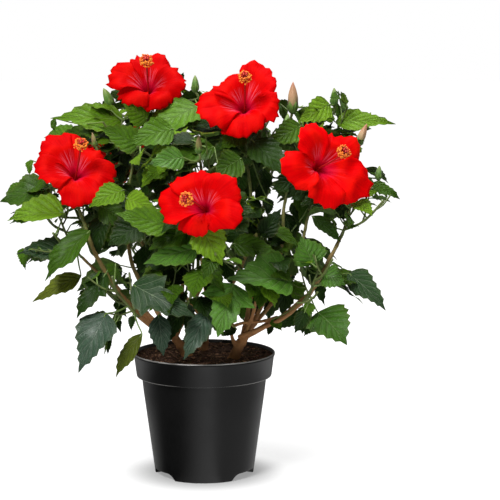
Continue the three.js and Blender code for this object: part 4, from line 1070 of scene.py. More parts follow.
def gridPattern(across, along):
    deselect()
    bpy.ops.mesh.primitive_grid_add(x_subdivisions=across, y_subdivisions=along, size=2.0, location=(0, 0, 0))
    return pattern(bpy.context.active_object)


def pebblePattern():
    deselect()
    bpy.ops.mesh.primitive_ico_sphere_add(subdivisions=1, radius=1.0)
    return pattern(bpy.context.active_object)


def copyOf(points, faces, uv=None, **values):  # one copy of a pattern: points in mm, faces, uv and own values
    if uv is None:
        uv = np.zeros((len(points), 2))
    return dict(points=points, faces=faces, uv=uv, values=values)


def joinCopies(name, copies):
    points, uvs, faces, first = [], [], [], 0
    values = {key: [] for key in copies[0]["values"]}
    for copy in copies:
        points.append(np.clip(copy["points"], boxLow, boxHigh) * mm)
        uvs.append(copy["uv"])
        faces += [tuple(corner + first for corner in face) for face in copy["faces"]]
        count = len(copy["points"])
        for key, value in copy["values"].items():
            values[key].append(np.broadcast_to(np.asarray(value, float), (count,)))
        first += count
    mesh = bpy.data.meshes.new(name)
    mesh.from_pydata(np.vstack(points).tolist(), [], faces)
    corners = np.empty(len(mesh.loops), dtype=np.int32)
    mesh.loops.foreach_get("vertex_index", corners)
    mesh.uv_layers.new(name="UVMap").data.foreach_set("uv", np.vstack(uvs)[corners].ravel())
    for key, rows in values.items():
        mesh.attributes.new(key, "FLOAT", "POINT").data.foreach_set("value", np.concatenate(rows))
    mesh.shade_smooth()
    return inScene(bpy.data.objects.new(name, mesh))


def tubeCurve(name, runs, sides=1):  # many round tubes as one curve: each run is points in mm and their radii
    curve = bpy.data.curves.new(name, "CURVE")
    curve.dimensions = "3D"
    curve.bevel_depth = mm
    curve.bevel_resolution = sides
    curve.use_fill_caps = True
    for points, radii in runs:
        spline = curve.splines.new("POLY")
        spline.points.add(len(points) - 1)
        flat = np.hstack([np.asarray(points) * mm, np.ones((len(points), 1))])
        spline.points.foreach_set("co", flat.ravel())
        spline.points.foreach_set("radius", np.asarray(radii, float))
    makeActive(inScene(bpy.data.objects.new(name, curve)))
    bpy.ops.object.convert(target="MESH")
    piece = bpy.context.active_object
    piece.data.shade_smooth()
    return piece


def useModifier(thing, kind, **settings):
    makeActive(thing)
    modifier = thing.modifiers.new(kind.lower(), kind)
    for key, value in settings.items():
        setattr(modifier, key, value)
    bpy.ops.object.modifier_apply(modifier=modifier.name)


def finishPiece(piece, material, nodes):
    moveIn(piece, np.clip(pointsOf(piece), boxLow * mm, boxHigh * mm))
    piece.data.materials.clear()
    piece.data.materials.append(material)
    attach(piece, "root")
    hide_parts(*nodes)


# the pot, in millimetres

pot = dict(
    segments=96, rimRadius=85, rimHeight=147.5, bandFootRadius=81, bandFootHeight=119, bodyTopRadius=75,
    footRadius=59.3, wall=1.8, floor=3, notches=3, notchWidth=52, notchHeight=8, notchDepth=17, drainRadius=4,
    notchTaper=0.78, notchRound=5.0, rounding=0.35, roundingAngle=0.7,
    darkest=rgb(0.0012, 0.0012, 0.0012), black=rgb(0.0034, 0.0034, 0.0035), paintedHighlight=rgb(0.36, 0.35, 0.335),
    edge=rgb(0.16, 0.16, 0.158), roughness=0.3,
)
footRadius, bodyRadius, bandRadius, rimRadius = (
    pot[part] for part in ("footRadius", "bodyTopRadius", "bandFootRadius", "rimRadius"))
wall, stepHeight, rimHeight = pot["wall"], pot["bandFootHeight"], pot["rimHeight"]


def lathe(name, profile):  # a closed turned body from a ring that is drawn up and out, ring by ring
    deselect()
    radius, height = profile[0]
    bpy.ops.mesh.primitive_circle_add(
        vertices=pot["segments"], radius=radius * mm, fill_type="NGON", location=(0, 0, height * mm),
    )
    body = bpy.context.active_object
    body.name = name
    bpy.ops.object.transform_apply(location=True)
    editAll()
    for nextRadius, nextHeight in profile[1:]:
        bpy.ops.mesh.extrude_region_move(TRANSFORM_OT_translate={"value": (0, 0, (nextHeight - height) * mm)})
        share = nextRadius / radius
        bpy.ops.transform.resize(value=(share, share, 1.0), center_override=(0.0, 0.0, nextHeight * mm))
        radius, height = nextRadius, nextHeight
    bpy.ops.mesh.select_all(action="SELECT")
    bpy.ops.mesh.normals_make_consistent(inside=False)
    editMode(False)
    return body


def cutAway(body, tool):
    useModifier(body, "BOOLEAN", operation="DIFFERENCE", object=tool, solver="EXACT")
    bpy.data.objects.remove(tool)


def notchTool(turn, grown):  # an arched block that opens the foot between two feet
    half, top = pot["notchWidth"] / 2 + grown, pot["notchHeight"] + grown
    inner, outer = footRadius - pot["notchDepth"] - grown, footRadius + 10
    deselect()
    bpy.ops.mesh.primitive_cube_add(size=1.0, location=(0, 0, 0))
    tool = bpy.context.active_object
    middle = (inner + outer) / 2
    spots = pointsOf(tool) * np.array([2 * half, outer - inner, top + 1.0])
    moveIn(tool, (spots + np.array([0, -middle, (top - 1.0) / 2])) * mm)
    makeActive(tool)
    editTop(tool)
    bpy.ops.transform.resize(value=(pot["notchTaper"], 1.0, 1.0), center_override=(0.0, 0.0, 0.0))
    bpy.ops.mesh.select_all(action="DESELECT")
    editMode(False)
    for edge in tool.data.edges:  # the two long edges of its roof are rounded off
        ends = [tool.data.vertices[i].co for i in edge.vertices]
        edge.select = min(end.z for end in ends) > 0 and abs(ends[0].y - ends[1].y) > 0.005
    editMode()
    bpy.ops.mesh.bevel(offset=pot["notchRound"] * mm, segments=6, affect="EDGES")
    editMode(False)
    tool.rotation_euler = (0, 0, turn)
    bpy.ops.object.transform_apply(rotation=True)
    return tool


potPiece = lathe("potPiece", [
    (footRadius - 1.6, 0), (footRadius - 0.5, 0.4), (footRadius, 1.6),
    *[(footRadius + (bodyRadius - footRadius) * (z - 1.6) / 115.2, z) for z in (11, 14, 40, 70, 100)],
    (bodyRadius - 0.4, stepHeight - 2.2), (bodyRadius, stepHeight - 0.6),
    (bodyRadius + 0.7, stepHeight - 0.1),
    (bandRadius - 1.6, stepHeight), (bandRadius - 0.5, stepHeight + 0.3), (bandRadius, stepHeight + 1.6),
    (rimRadius - 1.1, rimHeight - 4.2), (rimRadius - 0.3, rimHeight - 3.4), (rimRadius, rimHeight - 2.2),
    (rimRadius - 0.1, rimHeight - 0.9), (rimRadius - 0.6, rimHeight - 0.2), (rimRadius - 1.1, rimHeight),
])
room = lathe("potRoom", [
    (footRadius - wall, pot["floor"]), (bodyRadius - wall, stepHeight),
    (bandRadius - wall, stepHeight + wall),
    (rimRadius - wall - 0.3, rimHeight - 1.2), (rimRadius - wall + 0.2, rimHeight - 0.3),
    (rimRadius - wall + 0.4, rimHeight + 2),
])
notchTurns = [(i + 0.5) / pot["notches"] * 2 * math.pi for i in range(pot["notches"])]
for turn in notchTurns:
    cutAway(room, notchTool(turn, wall))
cutAway(potPiece, room)
for turn in notchTurns:
    cutAway(potPiece, notchTool(turn, 0))
    away = footRadius - pot["notchDepth"] / 2 - 2
    deselect()
    bpy.ops.mesh.primitive_cylinder_add(
        vertices=24, radius=pot["drainRadius"] * mm, depth=12 * mm,
        location=(math.sin(turn) * away * mm, -math.cos(turn) * away * mm, pot["notchHeight"] * mm),
    )
    drill = bpy.context.active_object
    bpy.ops.object.transform_apply(location=True)
    cutAway(potPiece, drill)
angle, width = pot["roundingAngle"], pot["rounding"] * mm
useModifier(potPiece, "BEVEL", width=width, segments=2, limit_method="ANGLE", angle_limit=angle)
makeActive(potPiece)
bpy.ops.object.shade_smooth_by_angle(angle=angle)

potPlastic, tree, skin = newMaterial("potPlastic", {"Specular IOR Level": 0.5})
marks = useGroup(tree, mottle, {"Patch Scale": 26.0, "Fine Scale": 900.0}).outputs
tone = blend(tree, marks["Patches"], pot["darkest"], pot["black"])
axes = axesOf(tree)
atFront = spread(tree, axes[1], 0.02, -0.03, 0.0, 0.9)
atSides = spread(tree, calc(tree, "ABSOLUTE", axes[0]), 0.025, 0.060, 0.04, 0.8)
for low, high, share in ((0.1461, 0.1478, atFront), (0.1186, 0.1198, atSides)):
    paintedHighlight = spread(tree, axes[2], low, low + 0.0005)  # painted highlight: thin pale lines on the rim's top edge at the front and on the band's lower edge at the sides
    ended = spread(tree, axes[2], high + 0.0004, high)
    worn = calc(tree, "MULTIPLY", calc(tree, "MULTIPLY", paintedHighlight, ended), share)
    tone = blend(tree, worn, tone, pot["paintedHighlight"])
turned = addShader(tree, "LayerWeight", {"Blend": 0.5}).outputs["Facing"]
sheen = calc(tree, "POWER", spread(tree, turned, 0.38, 0.98), 1.7)
tone = blend(tree, sheen, tone, pot["edge"])  # painted sheen: the wall pales where it turns away, as a reflection would
tree.links.new(tone, skin.inputs["Base Color"])
scuff = spread(tree, marks["Both"], 0.35, 0.7, pot["roughness"], pot["roughness"] + 0.14)
tree.links.new(scuff, skin.inputs["Roughness"])
addBump(tree, skin, marks["Fine"], 0.12, 0.0002)
finishPiece(potPiece, potPlastic, ["pot"])
print("pot moulded:", len(potPiece.data.polygons), "faces")

# the compost, a lumpy block with bark chips on it

compost = dict(
    edge=143.6, lumps=2.6, rings=26, chips=640, chipSize=(2.2, 7.4), seed=5, mound=1.6,
    sticks=[((-28, -42, 145.2), (-43, -44, 158), 0.9), ((50, -34, 145.6), (66, -20, 146.4), 0.8)],
    stickTint=0.62,
    dark=rgb(0.026, 0.012, 0.007), light=rgb(0.230, 0.115, 0.065), clod=rgb(0.045, 0.022, 0.013),
    chipDark=rgb(0.060, 0.028, 0.017), chipLight=rgb(0.600, 0.320, 0.190), fibre=rgb(0.040, 0.019, 0.012),
)
innerTop = bandRadius - wall + (rimRadius - bandRadius) * (
    (compost["edge"] - (stepHeight + wall)) / (rimHeight - (stepHeight + wall)))
compostPiece = lathe("compostPiece", [
    (footRadius - wall - 0.4, pot["floor"] + 7.2), (bodyRadius - wall - 0.6, 117),
    (bandRadius - wall - 0.5, stepHeight + wall + 1.5), (innerTop - 0.4, compost["edge"]),
])
makeActive(compostPiece)
editTop(compostPiece)
for ring in range(compost["rings"]):
    bpy.ops.mesh.inset(thickness=innerTop / (compost["rings"] + 1.2) * mm)
bpy.ops.mesh.poke()
editMode(False)
stemFeet = [path[0][:2] for radii, path in stems.values()]


def soilHeight(x, y):
    edge = min(1.0, max(0.0, (innerTop - math.hypot(x, y)) / 6))
    lump = noise.noise(Vector((x / 9, y / 9, 3.1))) + 0.6 * noise.noise(Vector((x / 3.4, y / 3.4, 8.7)))
    away = [(x - foot[0]) ** 2 + (y - foot[1]) ** 2 for foot in stemFeet]
    mound = sum(compost["mound"] * math.exp(-square / 260) for square in away)
    return compost["edge"] + edge * (0.7 + lump * compost["lumps"] * 0.6 - 0.6) + mound


soil = pointsOf(compostPiece)
for spot in soil:
    if spot[2] > (compost["edge"] - 0.2) * mm:
        spot[2] = soilHeight(spot[0] / mm, spot[1] / mm) * mm
moveIn(compostPiece, soil)
compostPiece.data.shade_smooth()

compostEarth, tree, skin = newMaterial("compostEarth", {"Roughness": 0.95, "Specular IOR Level": 0.2})
clods = useGroup(tree, mottle, {"Patch Scale": 170.0, "Fine Scale": 900.0}).outputs
crumbs = addShader(tree, "TexVoronoi", {"Vector": mapOf(tree), "Scale": 420.0}).outputs
earth = blend(tree, crumbs["Color"], compost["dark"], compost["light"])
tree.links.new(blend(tree, clods["Both"], earth, compost["clod"]), skin.inputs["Base Color"])
crumbHeight = calc(tree, "ADD", calc(tree, "MULTIPLY", crumbs["Distance"], -1.0), clods["Both"])
addBump(tree, skin, crumbHeight, 0.9, 0.0016)
finishPiece(compostPiece, compostEarth, ["compost"])

pebblePoints, pebbleFaces = pebblePattern()
draw = drawsFrom(compost["seed"])
chips = []
while len(chips) < compost["chips"]:
    angle, away = draw() * 2 * math.pi, math.sqrt(draw()) * (innerTop - 4)
    x, y = math.cos(angle) * away, math.sin(angle) * away
    size = compost["chipSize"][0] + (compost["chipSize"][1] - compost["chipSize"][0]) * draw() ** 2
    shape = pebblePoints * np.array([1.0, 0.42 + 0.3 * draw(), 0.22 + 0.25 * draw()]) * size / 2
    shape = shape + np.array([[draw() - 0.5, draw() - 0.5, draw() - 0.5] for p in pebblePoints]) * size * 0.16
    spin, tip = draw() * 2 * math.pi, (draw() - 0.5) * 0.9
    c, s = math.cos(tip), math.sin(tip)
    shape = shape @ np.array([[c, 0, s], [0, 1, 0], [-s, 0, c]])
    c, s = math.cos(spin), math.sin(spin)
    shape = shape @ np.array([[c, s, 0], [-s, c, 0], [0, 0, 1]])
    height = min(soilHeight(x, y) + size * 0.10, rimHeight - 1.2 - size * 0.3)
    chips.append(copyOf(shape + np.array([x, y, height]), pebbleFaces, tint=draw()))
for start, end, thick in compost["sticks"]:  # thin dry twigs that lie on it
    start, end = vec(start), vec(end)
    heading = unit(end - start)
    side = squareTo(heading, np.array([0.0, 1.0, 0.0]))
    half = heading * np.linalg.norm(end - start) / 2
    axes = np.array([half, side * thick, np.cross(heading, side) * thick])
    chips.append(copyOf(pebblePoints @ axes + (start + end) / 2, pebbleFaces, tint=compost["stickTint"]))
chipPiece = joinCopies("barkChips", chips)
chipPiece.data.shade_flat()
chipBark, tree, skin = newMaterial("chipBark", {"Roughness": 0.85})
fibres = useGroup(tree, grain, {"Scale": 500.0, "Stretch": 1.0}).outputs[0]
paleness = calc(tree, "POWER", ownValue(tree, "tint"), 2.2)
tone = blend(tree, paleness, compost["chipDark"], compost["chipLight"])
tone = blend(tree, calc(tree, "MULTIPLY", fibres, 0.6), tone, compost["fibre"])
tree.links.new(tone, skin.inputs["Base Color"])
addBump(tree, skin, fibres, 0.5, 0.0006)
finishPiece(chipPiece, chipBark, ["compost"])
print("compost laid:", len(chips), "chips")


# stems and boughs, joined where they fork, with bark relief

bark = dict(
    voxel=0.95, relief=0.27, knots=0.16, knotLength=0.16, nodeStep=17, wander=1.1, flare=1.12,
    rootIn=3.15, rootAt=139.5,
    old=rgb(0.480, 0.210, 0.064), older=rgb(0.150, 0.060, 0.020), dusty=rgb(0.40, 0.235, 0.115),
    young=rgb(0.200, 0.225, 0.045), fleck=rgb(0.085, 0.120, 0.030), greenFrom=0.27, greenTo=0.41,
)
sideLimbs = {  # two thin limbs beside the main fork
    "side_up": ((2.7, 1.0), [(40, -33, 153), (34, -36, 170), (33, -38, 184), (38, -36, 206), (47, -34, 226)]),
    "side_over": ((2.0, 1.9), [(33, -38, 184), (49, -44, 190), (68, -48, 192), (87, -50, 198)]),
}


def limbRun(name, limb):
    path = limb["path"]
    length = lengthOf(path)
    count = max(10, math.ceil(length / 3.2))
    points = [pointOn(path, i / count) for i in range(count + 1)]
    radii = [limbRadius(limb, i / count) for i in range(count + 1)]
    offset = drawsFrom(len(name) * 131 + int(abs(path[-1][0]) * 7))() * bark["nodeStep"]
    for i in range(count + 1):  # swollen nodes, and a wandering line between them
        walked = offset + i * length / count
        near = abs((walked / bark["nodeStep"]) % 1 - 0.5)
        radii[i] *= 1 + bark["knots"] * max(0.0, 1 - near / bark["knotLength"]) - 0.03
        if 0 < i < count:
            spot = Vector((walked / 24, len(name) * 0.7, path[0][0] / 9))
            sway = np.array([noise.noise(spot), noise.noise(spot + Vector((5, 5, 5))), 0])
            points[i] = points[i] + sway * bark["wander"]
    if name in stems:  # it stands a little way in the compost, on a flare
        below = points[0] - headingOn(path, 0) * bark["rootIn"]
        below[2] = bark["rootAt"]
        return [below] + points, [radii[0] * bark["flare"]] + radii
    points = [points[0] - headingOn(path, 0) * 1.5] + points + [points[-1] + headingOn(path, 1) * 0.2]
    return points, [radii[0]] + radii + [radii[-1]]


sideLimbs = {
    name: dict(radii=radii, path=[vec(spot) for spot in path], flared=False)
    for name, (radii, path) in sideLimbs.items()
}
limbPiece = tubeCurve("stemsAndBoughs", [limbRun(*item) for item in {**limbs, **sideLimbs}.items()], sides=4)
useModifier(limbPiece, "REMESH", mode="VOXEL", voxel_size=bark["voxel"] * mm, use_smooth_shade=True)
useModifier(limbPiece, "SMOOTH", factor=0.5, iterations=3)
spots = pointsOf(limbPiece)
normals = np.array([vertex.normal[:] for vertex in limbPiece.data.vertices])
lift = np.array([
    noise.noise(Vector((x * 330, y * 330, z * 75))) + 0.5 * noise.noise(Vector((x * 800, y * 800, z * 300)))
    for x, y, z in spots
])
moveIn(limbPiece, spots + normals * (lift * bark["relief"] * mm)[:, None])
limbPiece.data.shade_smooth()

stemBark, tree, skin = newMaterial("stemBark", {})
grained = useGroup(tree, grain, {"Scale": 190.0, "Stretch": 0.2}).outputs
patchy = useGroup(tree, mottle, {"Patch Scale": 34.0, "Fine Scale": 330.0}).outputs
woodTone = blend(tree, grained["Fissures"], bark["older"], bark["old"])
woodTone = blend(tree, calc(tree, "MULTIPLY", patchy["Fine"], 0.28), woodTone, bark["dusty"])
wander = calc(tree, "MULTIPLY_ADD", patchy["Patches"], 0.16, axesOf(tree)[2])
greened = spread(tree, wander, bark["greenFrom"], bark["greenTo"])
youngTone = blend(tree, grained["Flecks"], bark["young"], bark["fleck"])
tree.links.new(blend(tree, greened, woodTone, youngTone), skin.inputs["Base Color"])
tree.links.new(spread(tree, greened, 0.0, 1.0, 0.85, 0.5), skin.inputs["Roughness"])
addBump(tree, skin, calc(tree, "MULTIPLY_ADD", grained["Flecks"], 0.3, grained["Fissures"]), 0.7, 0.0009)
finishPiece(limbPiece, stemBark, list(stems) + list(boughs))
print("limbs grown:", len(limbPiece.data.polygons), "faces")


# leaves: four outlines on one small grid, laid along every blade

outlines = dict(
    # half width at rows from stalk to tip; the edge's teeth come on top of it
    ovate=(0.10, 0.52, 0.82, 0.96, 1.00, 0.98, 0.93, 0.85, 0.75, 0.63, 0.50, 0.36, 0.23, 0.11, 0.015),
    broad=(0.12, 0.62, 0.90, 1.00, 1.02, 0.98, 0.91, 0.82, 0.71, 0.59, 0.45, 0.32, 0.19, 0.09, 0.015),
    slender=(0.10, 0.40, 0.68, 0.86, 0.96, 1.00, 0.98, 0.91, 0.82, 0.70, 0.56, 0.42, 0.27, 0.13, 0.015),
    lobed=(0.12, 0.58, 0.82, 0.92, 1.02, 1.12, 0.62, 0.56, 0.58, 0.54, 0.46, 0.35, 0.23, 0.11, 0.015),
)
leafLook = dict(
    teeth=0.085, toothRise=0.024, toothDip=0.45, firstTooth=3, wave=0.042, sway=0.05, twist=0.35,
    stalkFoot=1.15, stalkTop=0.62, stalkSag=0.06, worn=rgb(0.16, 0.15, 0.03), under=rgb(0.15, 0.24, 0.06),
)
tones = dict(
    # coat, gloss, darkest and lightest green, and the veins' colour
    leavesBright=(0.0, 0.11, rgb(0.062, 0.150, 0.003), rgb(0.160, 0.305, 0.013), rgb(0.30, 0.43, 0.08)),
    leavesMid=(0.06, 0.15, rgb(0.028, 0.078, 0.002), rgb(0.082, 0.190, 0.008), rgb(0.17, 0.30, 0.06)),
    leavesFresh=(0.09, 0.20, rgb(0.034, 0.110, 0.006), rgb(0.086, 0.226, 0.022), rgb(0.28, 0.43, 0.14)),
    leavesCool=(0.10, 0.22, rgb(0.015, 0.048, 0.012), rgb(0.046, 0.112, 0.030), rgb(0.42, 0.55, 0.34)),
    leavesDark=(0.05, 0.18, rgb(0.006, 0.021, 0.001), rgb(0.021, 0.060, 0.004), rgb(0.09, 0.18, 0.05)),
    leavesBlue=(0.18, 0.35, rgb(0.017, 0.045, 0.022), rgb(0.044, 0.096, 0.052), rgb(0.36, 0.45, 0.34)),
    leavesOlive=(0.02, 0.15, rgb(0.050, 0.074, 0.004), rgb(0.120, 0.152, 0.012), rgb(0.24, 0.27, 0.09)),
    leavesYoung=(0.0, 0.10, rgb(0.110, 0.225, 0.006), rgb(0.230, 0.370, 0.022), rgb(0.34, 0.46, 0.11)),
)
rows = len(outlines["ovate"]) - 1
sheetPoints, sheetFaces = gridPattern(4, rows)
sheetAcross, sheetAlong = sheetPoints[:, 0], (sheetPoints[:, 1] + 1) / 2
sheetMap = np.stack([(sheetAcross + 1) / 2, sheetAlong], axis=1)
sheetRow = np.rint(sheetAlong * rows).astype(int)
toothed = (np.abs(sheetAcross) > 0.9) & (sheetRow >= leafLook["firstTooth"]) & (sheetRow < rows - 1)
out = toothed & (sheetRow % 2 == 1)
halves = {}
for name, widths in outlines.items():
    half = np.array(widths)[sheetRow]
    half = np.where(out, half + leafLook["teeth"] * np.sqrt(half), half)
    halves[name] = np.where(toothed & ~out, half - leafLook["teeth"] * leafLook["toothDip"], half)
rises = np.where(out, leafLook["toothRise"], 0.0)


def toneAt(place, draw):  # pale leaves high on the outside, dark ones low and deep in the crown: partly the paler young growth at the top, partly painted shade deep in the crown
    x, y, height = place
    share, pick = min(1.0, max(0.0, (height - 190) / 260)), draw()
    depth = max(0.0, 1 - math.hypot(x / 200, y / 165, (height - 330) / 165))
    bright = 0.08 + 0.66 * share ** 1.3 - 0.9 * depth
    dark = 0.40 * (1 - share) ** 1.2 + 1.1 * depth
    if pick < bright:
        return "Bright"
    if pick > 1 - dark:
        return "Blue" if height < 240 and draw() < 0.3 else "Dark"
    return "Mid"


def layLeaf(blade, outline, draw):
    half = blade["width"] / 2 * halves[outline]
    phase, rate = draw() * 6, 7 + 5 * draw()
    wave = leafLook["wave"] * blade["length"] * (0.5 + draw())
    ripple = np.sin(sheetAlong * rate + phase + sheetAcross * 0.8)
    lift = wave * np.abs(sheetAcross) ** 2 * ripple * np.sin(sheetAlong * 3.1)
    lift += leafLook["twist"] * (draw() - 0.5) * sheetAlong * sheetAcross * half
    points = bladePoints(blade, np.clip(sheetAlong + rises, 0, 1), sheetAcross, half, lift)
    sway = leafLook["sway"] * (draw() - 0.5) * 2 * blade["length"] * sheetAlong ** 2
    points = points + blade["side"] * sway[:, None]
    return copyOf(points, sheetFaces, sheetMap, tint=blade["look"].get("tint", draw()), worn=draw())


leafPiles = {name: [] for name in tones}
stalkRuns = []
draw = drawsFrom(4021)
for plan in plans.values():
    for blade in plan["blades"]:
        root, base, look = blade["root"], blade["base"], blade["look"]
        middle = (base + bladePoints(blade, np.array([1.0]), 0.0, 0.0)[0]) / 2
        outline = ("ovate", "ovate", "broad", "slender")[int(draw() * 4)]
        tone = look.get("tone", toneAt(middle, draw))
        leafPiles["leaves" + tone].append(layLeaf(blade, look.get("outline", outline), draw))
        dip = base * 0.5 + root * 0.5 - np.array([0, 0, leafLook["stalkSag"]]) * np.linalg.norm(base - root)
        arrive = base + blade["along"] * min(5.0, blade["length"] * 0.08)
        run = [pointOn([root, dip, base, arrive], i / 9) for i in range(10)]
        thickness = np.linspace(leafLook["stalkFoot"], leafLook["stalkTop"], 10)
        stalkRuns.append((run, thickness * (0.75 + 0.25 * blade["length"] / 70)))
    for blade in plan["tufts"]:
        leafPiles["leavesYoung"].append(layLeaf(blade, "slender", draw))
        run = [blade["root"], blade["base"], blade["base"] + blade["along"] * 2]
        stalkRuns.append((run, [0.55, 0.5, 0.4]))

for name, (coat, gleam, low, high, veinTone) in tones.items():
    leafPiece = joinCopies(name, leafPiles[name])
    leafSkin, tree, skin = newMaterial(name, {
        "Coat Weight": coat, "Coat Roughness": 0.3, "Specular IOR Level": gleam})
    vein = useGroup(tree, veins, {"Pairs": 6.5}).outputs
    spotty = useGroup(tree, mottle, {"Patch Scale": 70.0, "Fine Scale": 520.0}).outputs
    mixed = calc(tree, "SUBTRACT", spotty["Both"], 0.5)
    mixed = calc(tree, "MULTIPLY_ADD", mixed, 0.9, ownValue(tree, "tint"))
    tone = blend(tree, addShader(tree, "Clamp", {0: mixed}).outputs[0], low, high)
    worn = calc(tree, "MULTIPLY", ownValue(tree, "worn"), 0.35)
    worn = calc(tree, "MULTIPLY", calc(tree, "POWER", vein["Across"], 9.0), worn)
    tone = blend(tree, worn, tone, leafLook["worn"])
    # painted shade: the green darkens in the grooves along the veins and the quilting between them, over fine
    # random mottling
    hollow = calc(tree, "MULTIPLY_ADD", spotty["Fine"], 0.9, 0.64)
    tone = shaded(tree, tone, calc(tree, "MULTIPLY_ADD", vein["Relief"], 0.42, hollow))
    top = blend(tree, calc(tree, "MULTIPLY", vein["Veins"], 0.55), tone, veinTone)
    under = blend(tree, 0.42, top, leafLook["under"])
    backing = addShader(tree, "NewGeometry").outputs["Backfacing"]
    tree.links.new(blend(tree, backing, top, under), skin.inputs["Base Color"])
    gloss = spread(tree, spotty["Both"], 0.3, 0.7, 0.30, 0.44)
    tree.links.new(calc(tree, "ADD", gloss, calc(tree, "MULTIPLY", backing, 0.3)), skin.inputs["Roughness"])
    rough = calc(tree, "MULTIPLY_ADD", spotty["Fine"], 0.35, vein["Relief"])
    addBump(tree, skin, calc(tree, "MULTIPLY_ADD", spotty["Patches"], 1.6, rough), 0.9, 0.0018)
    finishPiece(leafPiece, leafSkin, list(masses))
    print(name, len(leafPiles[name]), "leaves,", len(leafPiece.data.polygons), "faces")

# shoots and leaf stalks

shootRuns = []
for plan in plans.values():
    for line in plan["lines"]:
        count = max(6, math.ceil(lengthOf(line["path"]) / 7))
        points = [pointOn(line["path"], i / count) for i in range(count + 1)]
        thick, thin = line["radii"]
        radii = [(thick + (thin - thick) * i / count) * (1.12 if i % 2 else 0.97) for i in range(count + 1)]
        if line is plan["lines"][0]:
            points, radii = [points[0] - headingOn(line["path"], 0) * 2.2] + points, [radii[0]] + radii
        shootRuns.append((points, radii))
for name, runs, skinName, low, high in (
    ("shoots", shootRuns, "shootSkin", rgb(0.060, 0.085, 0.022), rgb(0.165, 0.215, 0.052)),
    ("leafStalks", stalkRuns, "stalkSkin", rgb(0.085, 0.165, 0.028), rgb(0.215, 0.310, 0.075)),
):
    piece = tubeCurve(name, runs)
    coat, tree, skin = newMaterial(skinName, {"Roughness": 0.5})
    ringed = useGroup(tree, grain, {"Scale": 260.0, "Stretch": 0.3}).outputs
    tree.links.new(blend(tree, ringed["Fissures"], low, high), skin.inputs["Base Color"])
    addBump(tree, skin, ringed["Flecks"], 0.3, 0.0004)
    finishPiece(piece, coat, list(masses))
    print(name, len(piece.data.polygons), "faces")


# blossoms: five petals each on a fine grid, a bending column with its ring of anthers, and a calyx behind

blossomLook = dict(
    across=16, along=18, half=39.0, overlap=2.4, ruffle=3.6, frill=2.0, jag=0.055, swell=4.5, droop=2.2,
    anthers=72, stigmas=5, petalThickness=0.5,
    calyx=[(0, 1.9), (0.12, 3.6), (0.45, 6.6), (0.75, 7.4), (1, 9.0)], calyxDepth=19,
    bracts=dict(count=7, turn=0.0, aside=2.0, ahead=1.5, width=2.6, rise=0.55), bractLength=13,
    red=rgb(0.51, 0.0003, 0.0010), line=rgb(0.44, 0.0002, 0.0010), warm=rgb(0.68, 0.0060, 0.0020),
    maroon=rgb(0.13, 0.0, 0.006), magenta=rgb(0.50, 0.006, 0.050), streak=rgb(0.86, 0.24, 0.36),
    glow=rgb(1.0, 0.001, 0.002), columnDeep=rgb(0.27, 0.003, 0.006), columnRed=rgb(0.52, 0.014, 0.010),
)
# bend is how far the column leans to the right and up, streaked the petals with pale rays, turn the angle of
# the first petal, and rim the reach of the whole edge, three numbers for each petal
# shade makes a whole blossom darker or lighter: painted light and shade
flowers = {
    "mass_top_left": dict(
        bend=(0, 3), streaked=(0, 1, 4), jag=0.075, shade=0.82, turn=49,
        rim=(41, 48, 47, 42, 48, 50, 40, 38, 34, 32, 34, 36, 37, 42, 44),
    ),
    "mass_top_right": dict(
        bend=(0, 8), streaked=(0, 1, 2), shade=1.04, turn=21,
        rim=(38, 47, 58, 44, 42, 42, 44, 59, 54, 50, 49, 44, 40, 43, 39),
    ),
    "mass_left_high": dict(
        bend=(0, 5), streaked=(3, 4, 0), shade=0.9, turn=158,
        rim=(46, 51, 46, 44, 54, 48, 44, 44, 46, 38, 38, 42, 58, 54, 52),
    ),
    "mass_right_high": dict(
        bend=(1, 6), streaked=(3, 4, 0), shade=1.22, turn=148,
        rim=(40, 56, 50, 42, 44, 50, 47, 57, 62, 50, 56, 45, 38, 53, 48),
    ),
    "mass_front": dict(
        bend=(-4, -4), streaked=(0, 1), shorter=0.93, shade=1.08, turn=7,
        rim=(47, 48, 43, 38, 40, 44, 44, 49, 46, 38, 32, 34, 28, 36, 52),
    ),
    "mass_right_back": dict(
        bend=(0, 5), streaked=(0, 1), turn=33,
        rim=(40, 52, 52, 41, 54, 55, 40, 49, 48, 38, 47, 46, 40, 53, 52),
    ),
    "mass_back_left": dict(
        bend=(2, 5), streaked=(0, 4), turn=75,
        rim=(41, 53, 53, 39, 48, 49, 38, 47, 46, 39, 50, 51, 40, 52, 53),
    ),
    "mass_back_middle": dict(
        bend=(-2, 4), streaked=(0, 1), turn=12,
        rim=(40, 53, 52, 39, 51, 50, 38, 48, 49, 37, 46, 46, 41, 53, 54),
    ),
}


def axesAt(at, faces):  # where a blossom or a bud stands, and its right, its top and the way it faces
    faces = unit(vec(faces))
    top = squareTo(faces, up)
    return vec(at), np.cross(top, faces), top, faces


def roundAxis(axes, turn, radius, height):  # points by their angle, distance and height on those axes
    at, right, top, faces = axes
    aside = right * (np.cos(turn) * radius)[:, None] + top * (np.sin(turn) * radius)[:, None]
    return at + aside + faces * height[:, None]


def corollaHeight(share):
    return -blossomRule["throatDepth"] * (1 - share) ** 3 + blossomRule["flare"] * (np.sin(share * 2.2) - 0.5)


petalPoints, petalFaces = gridPattern(blossomLook["across"], blossomLook["along"])
petalAcross, petalAlong = petalPoints[:, 0], (petalPoints[:, 1] + 1) / 2


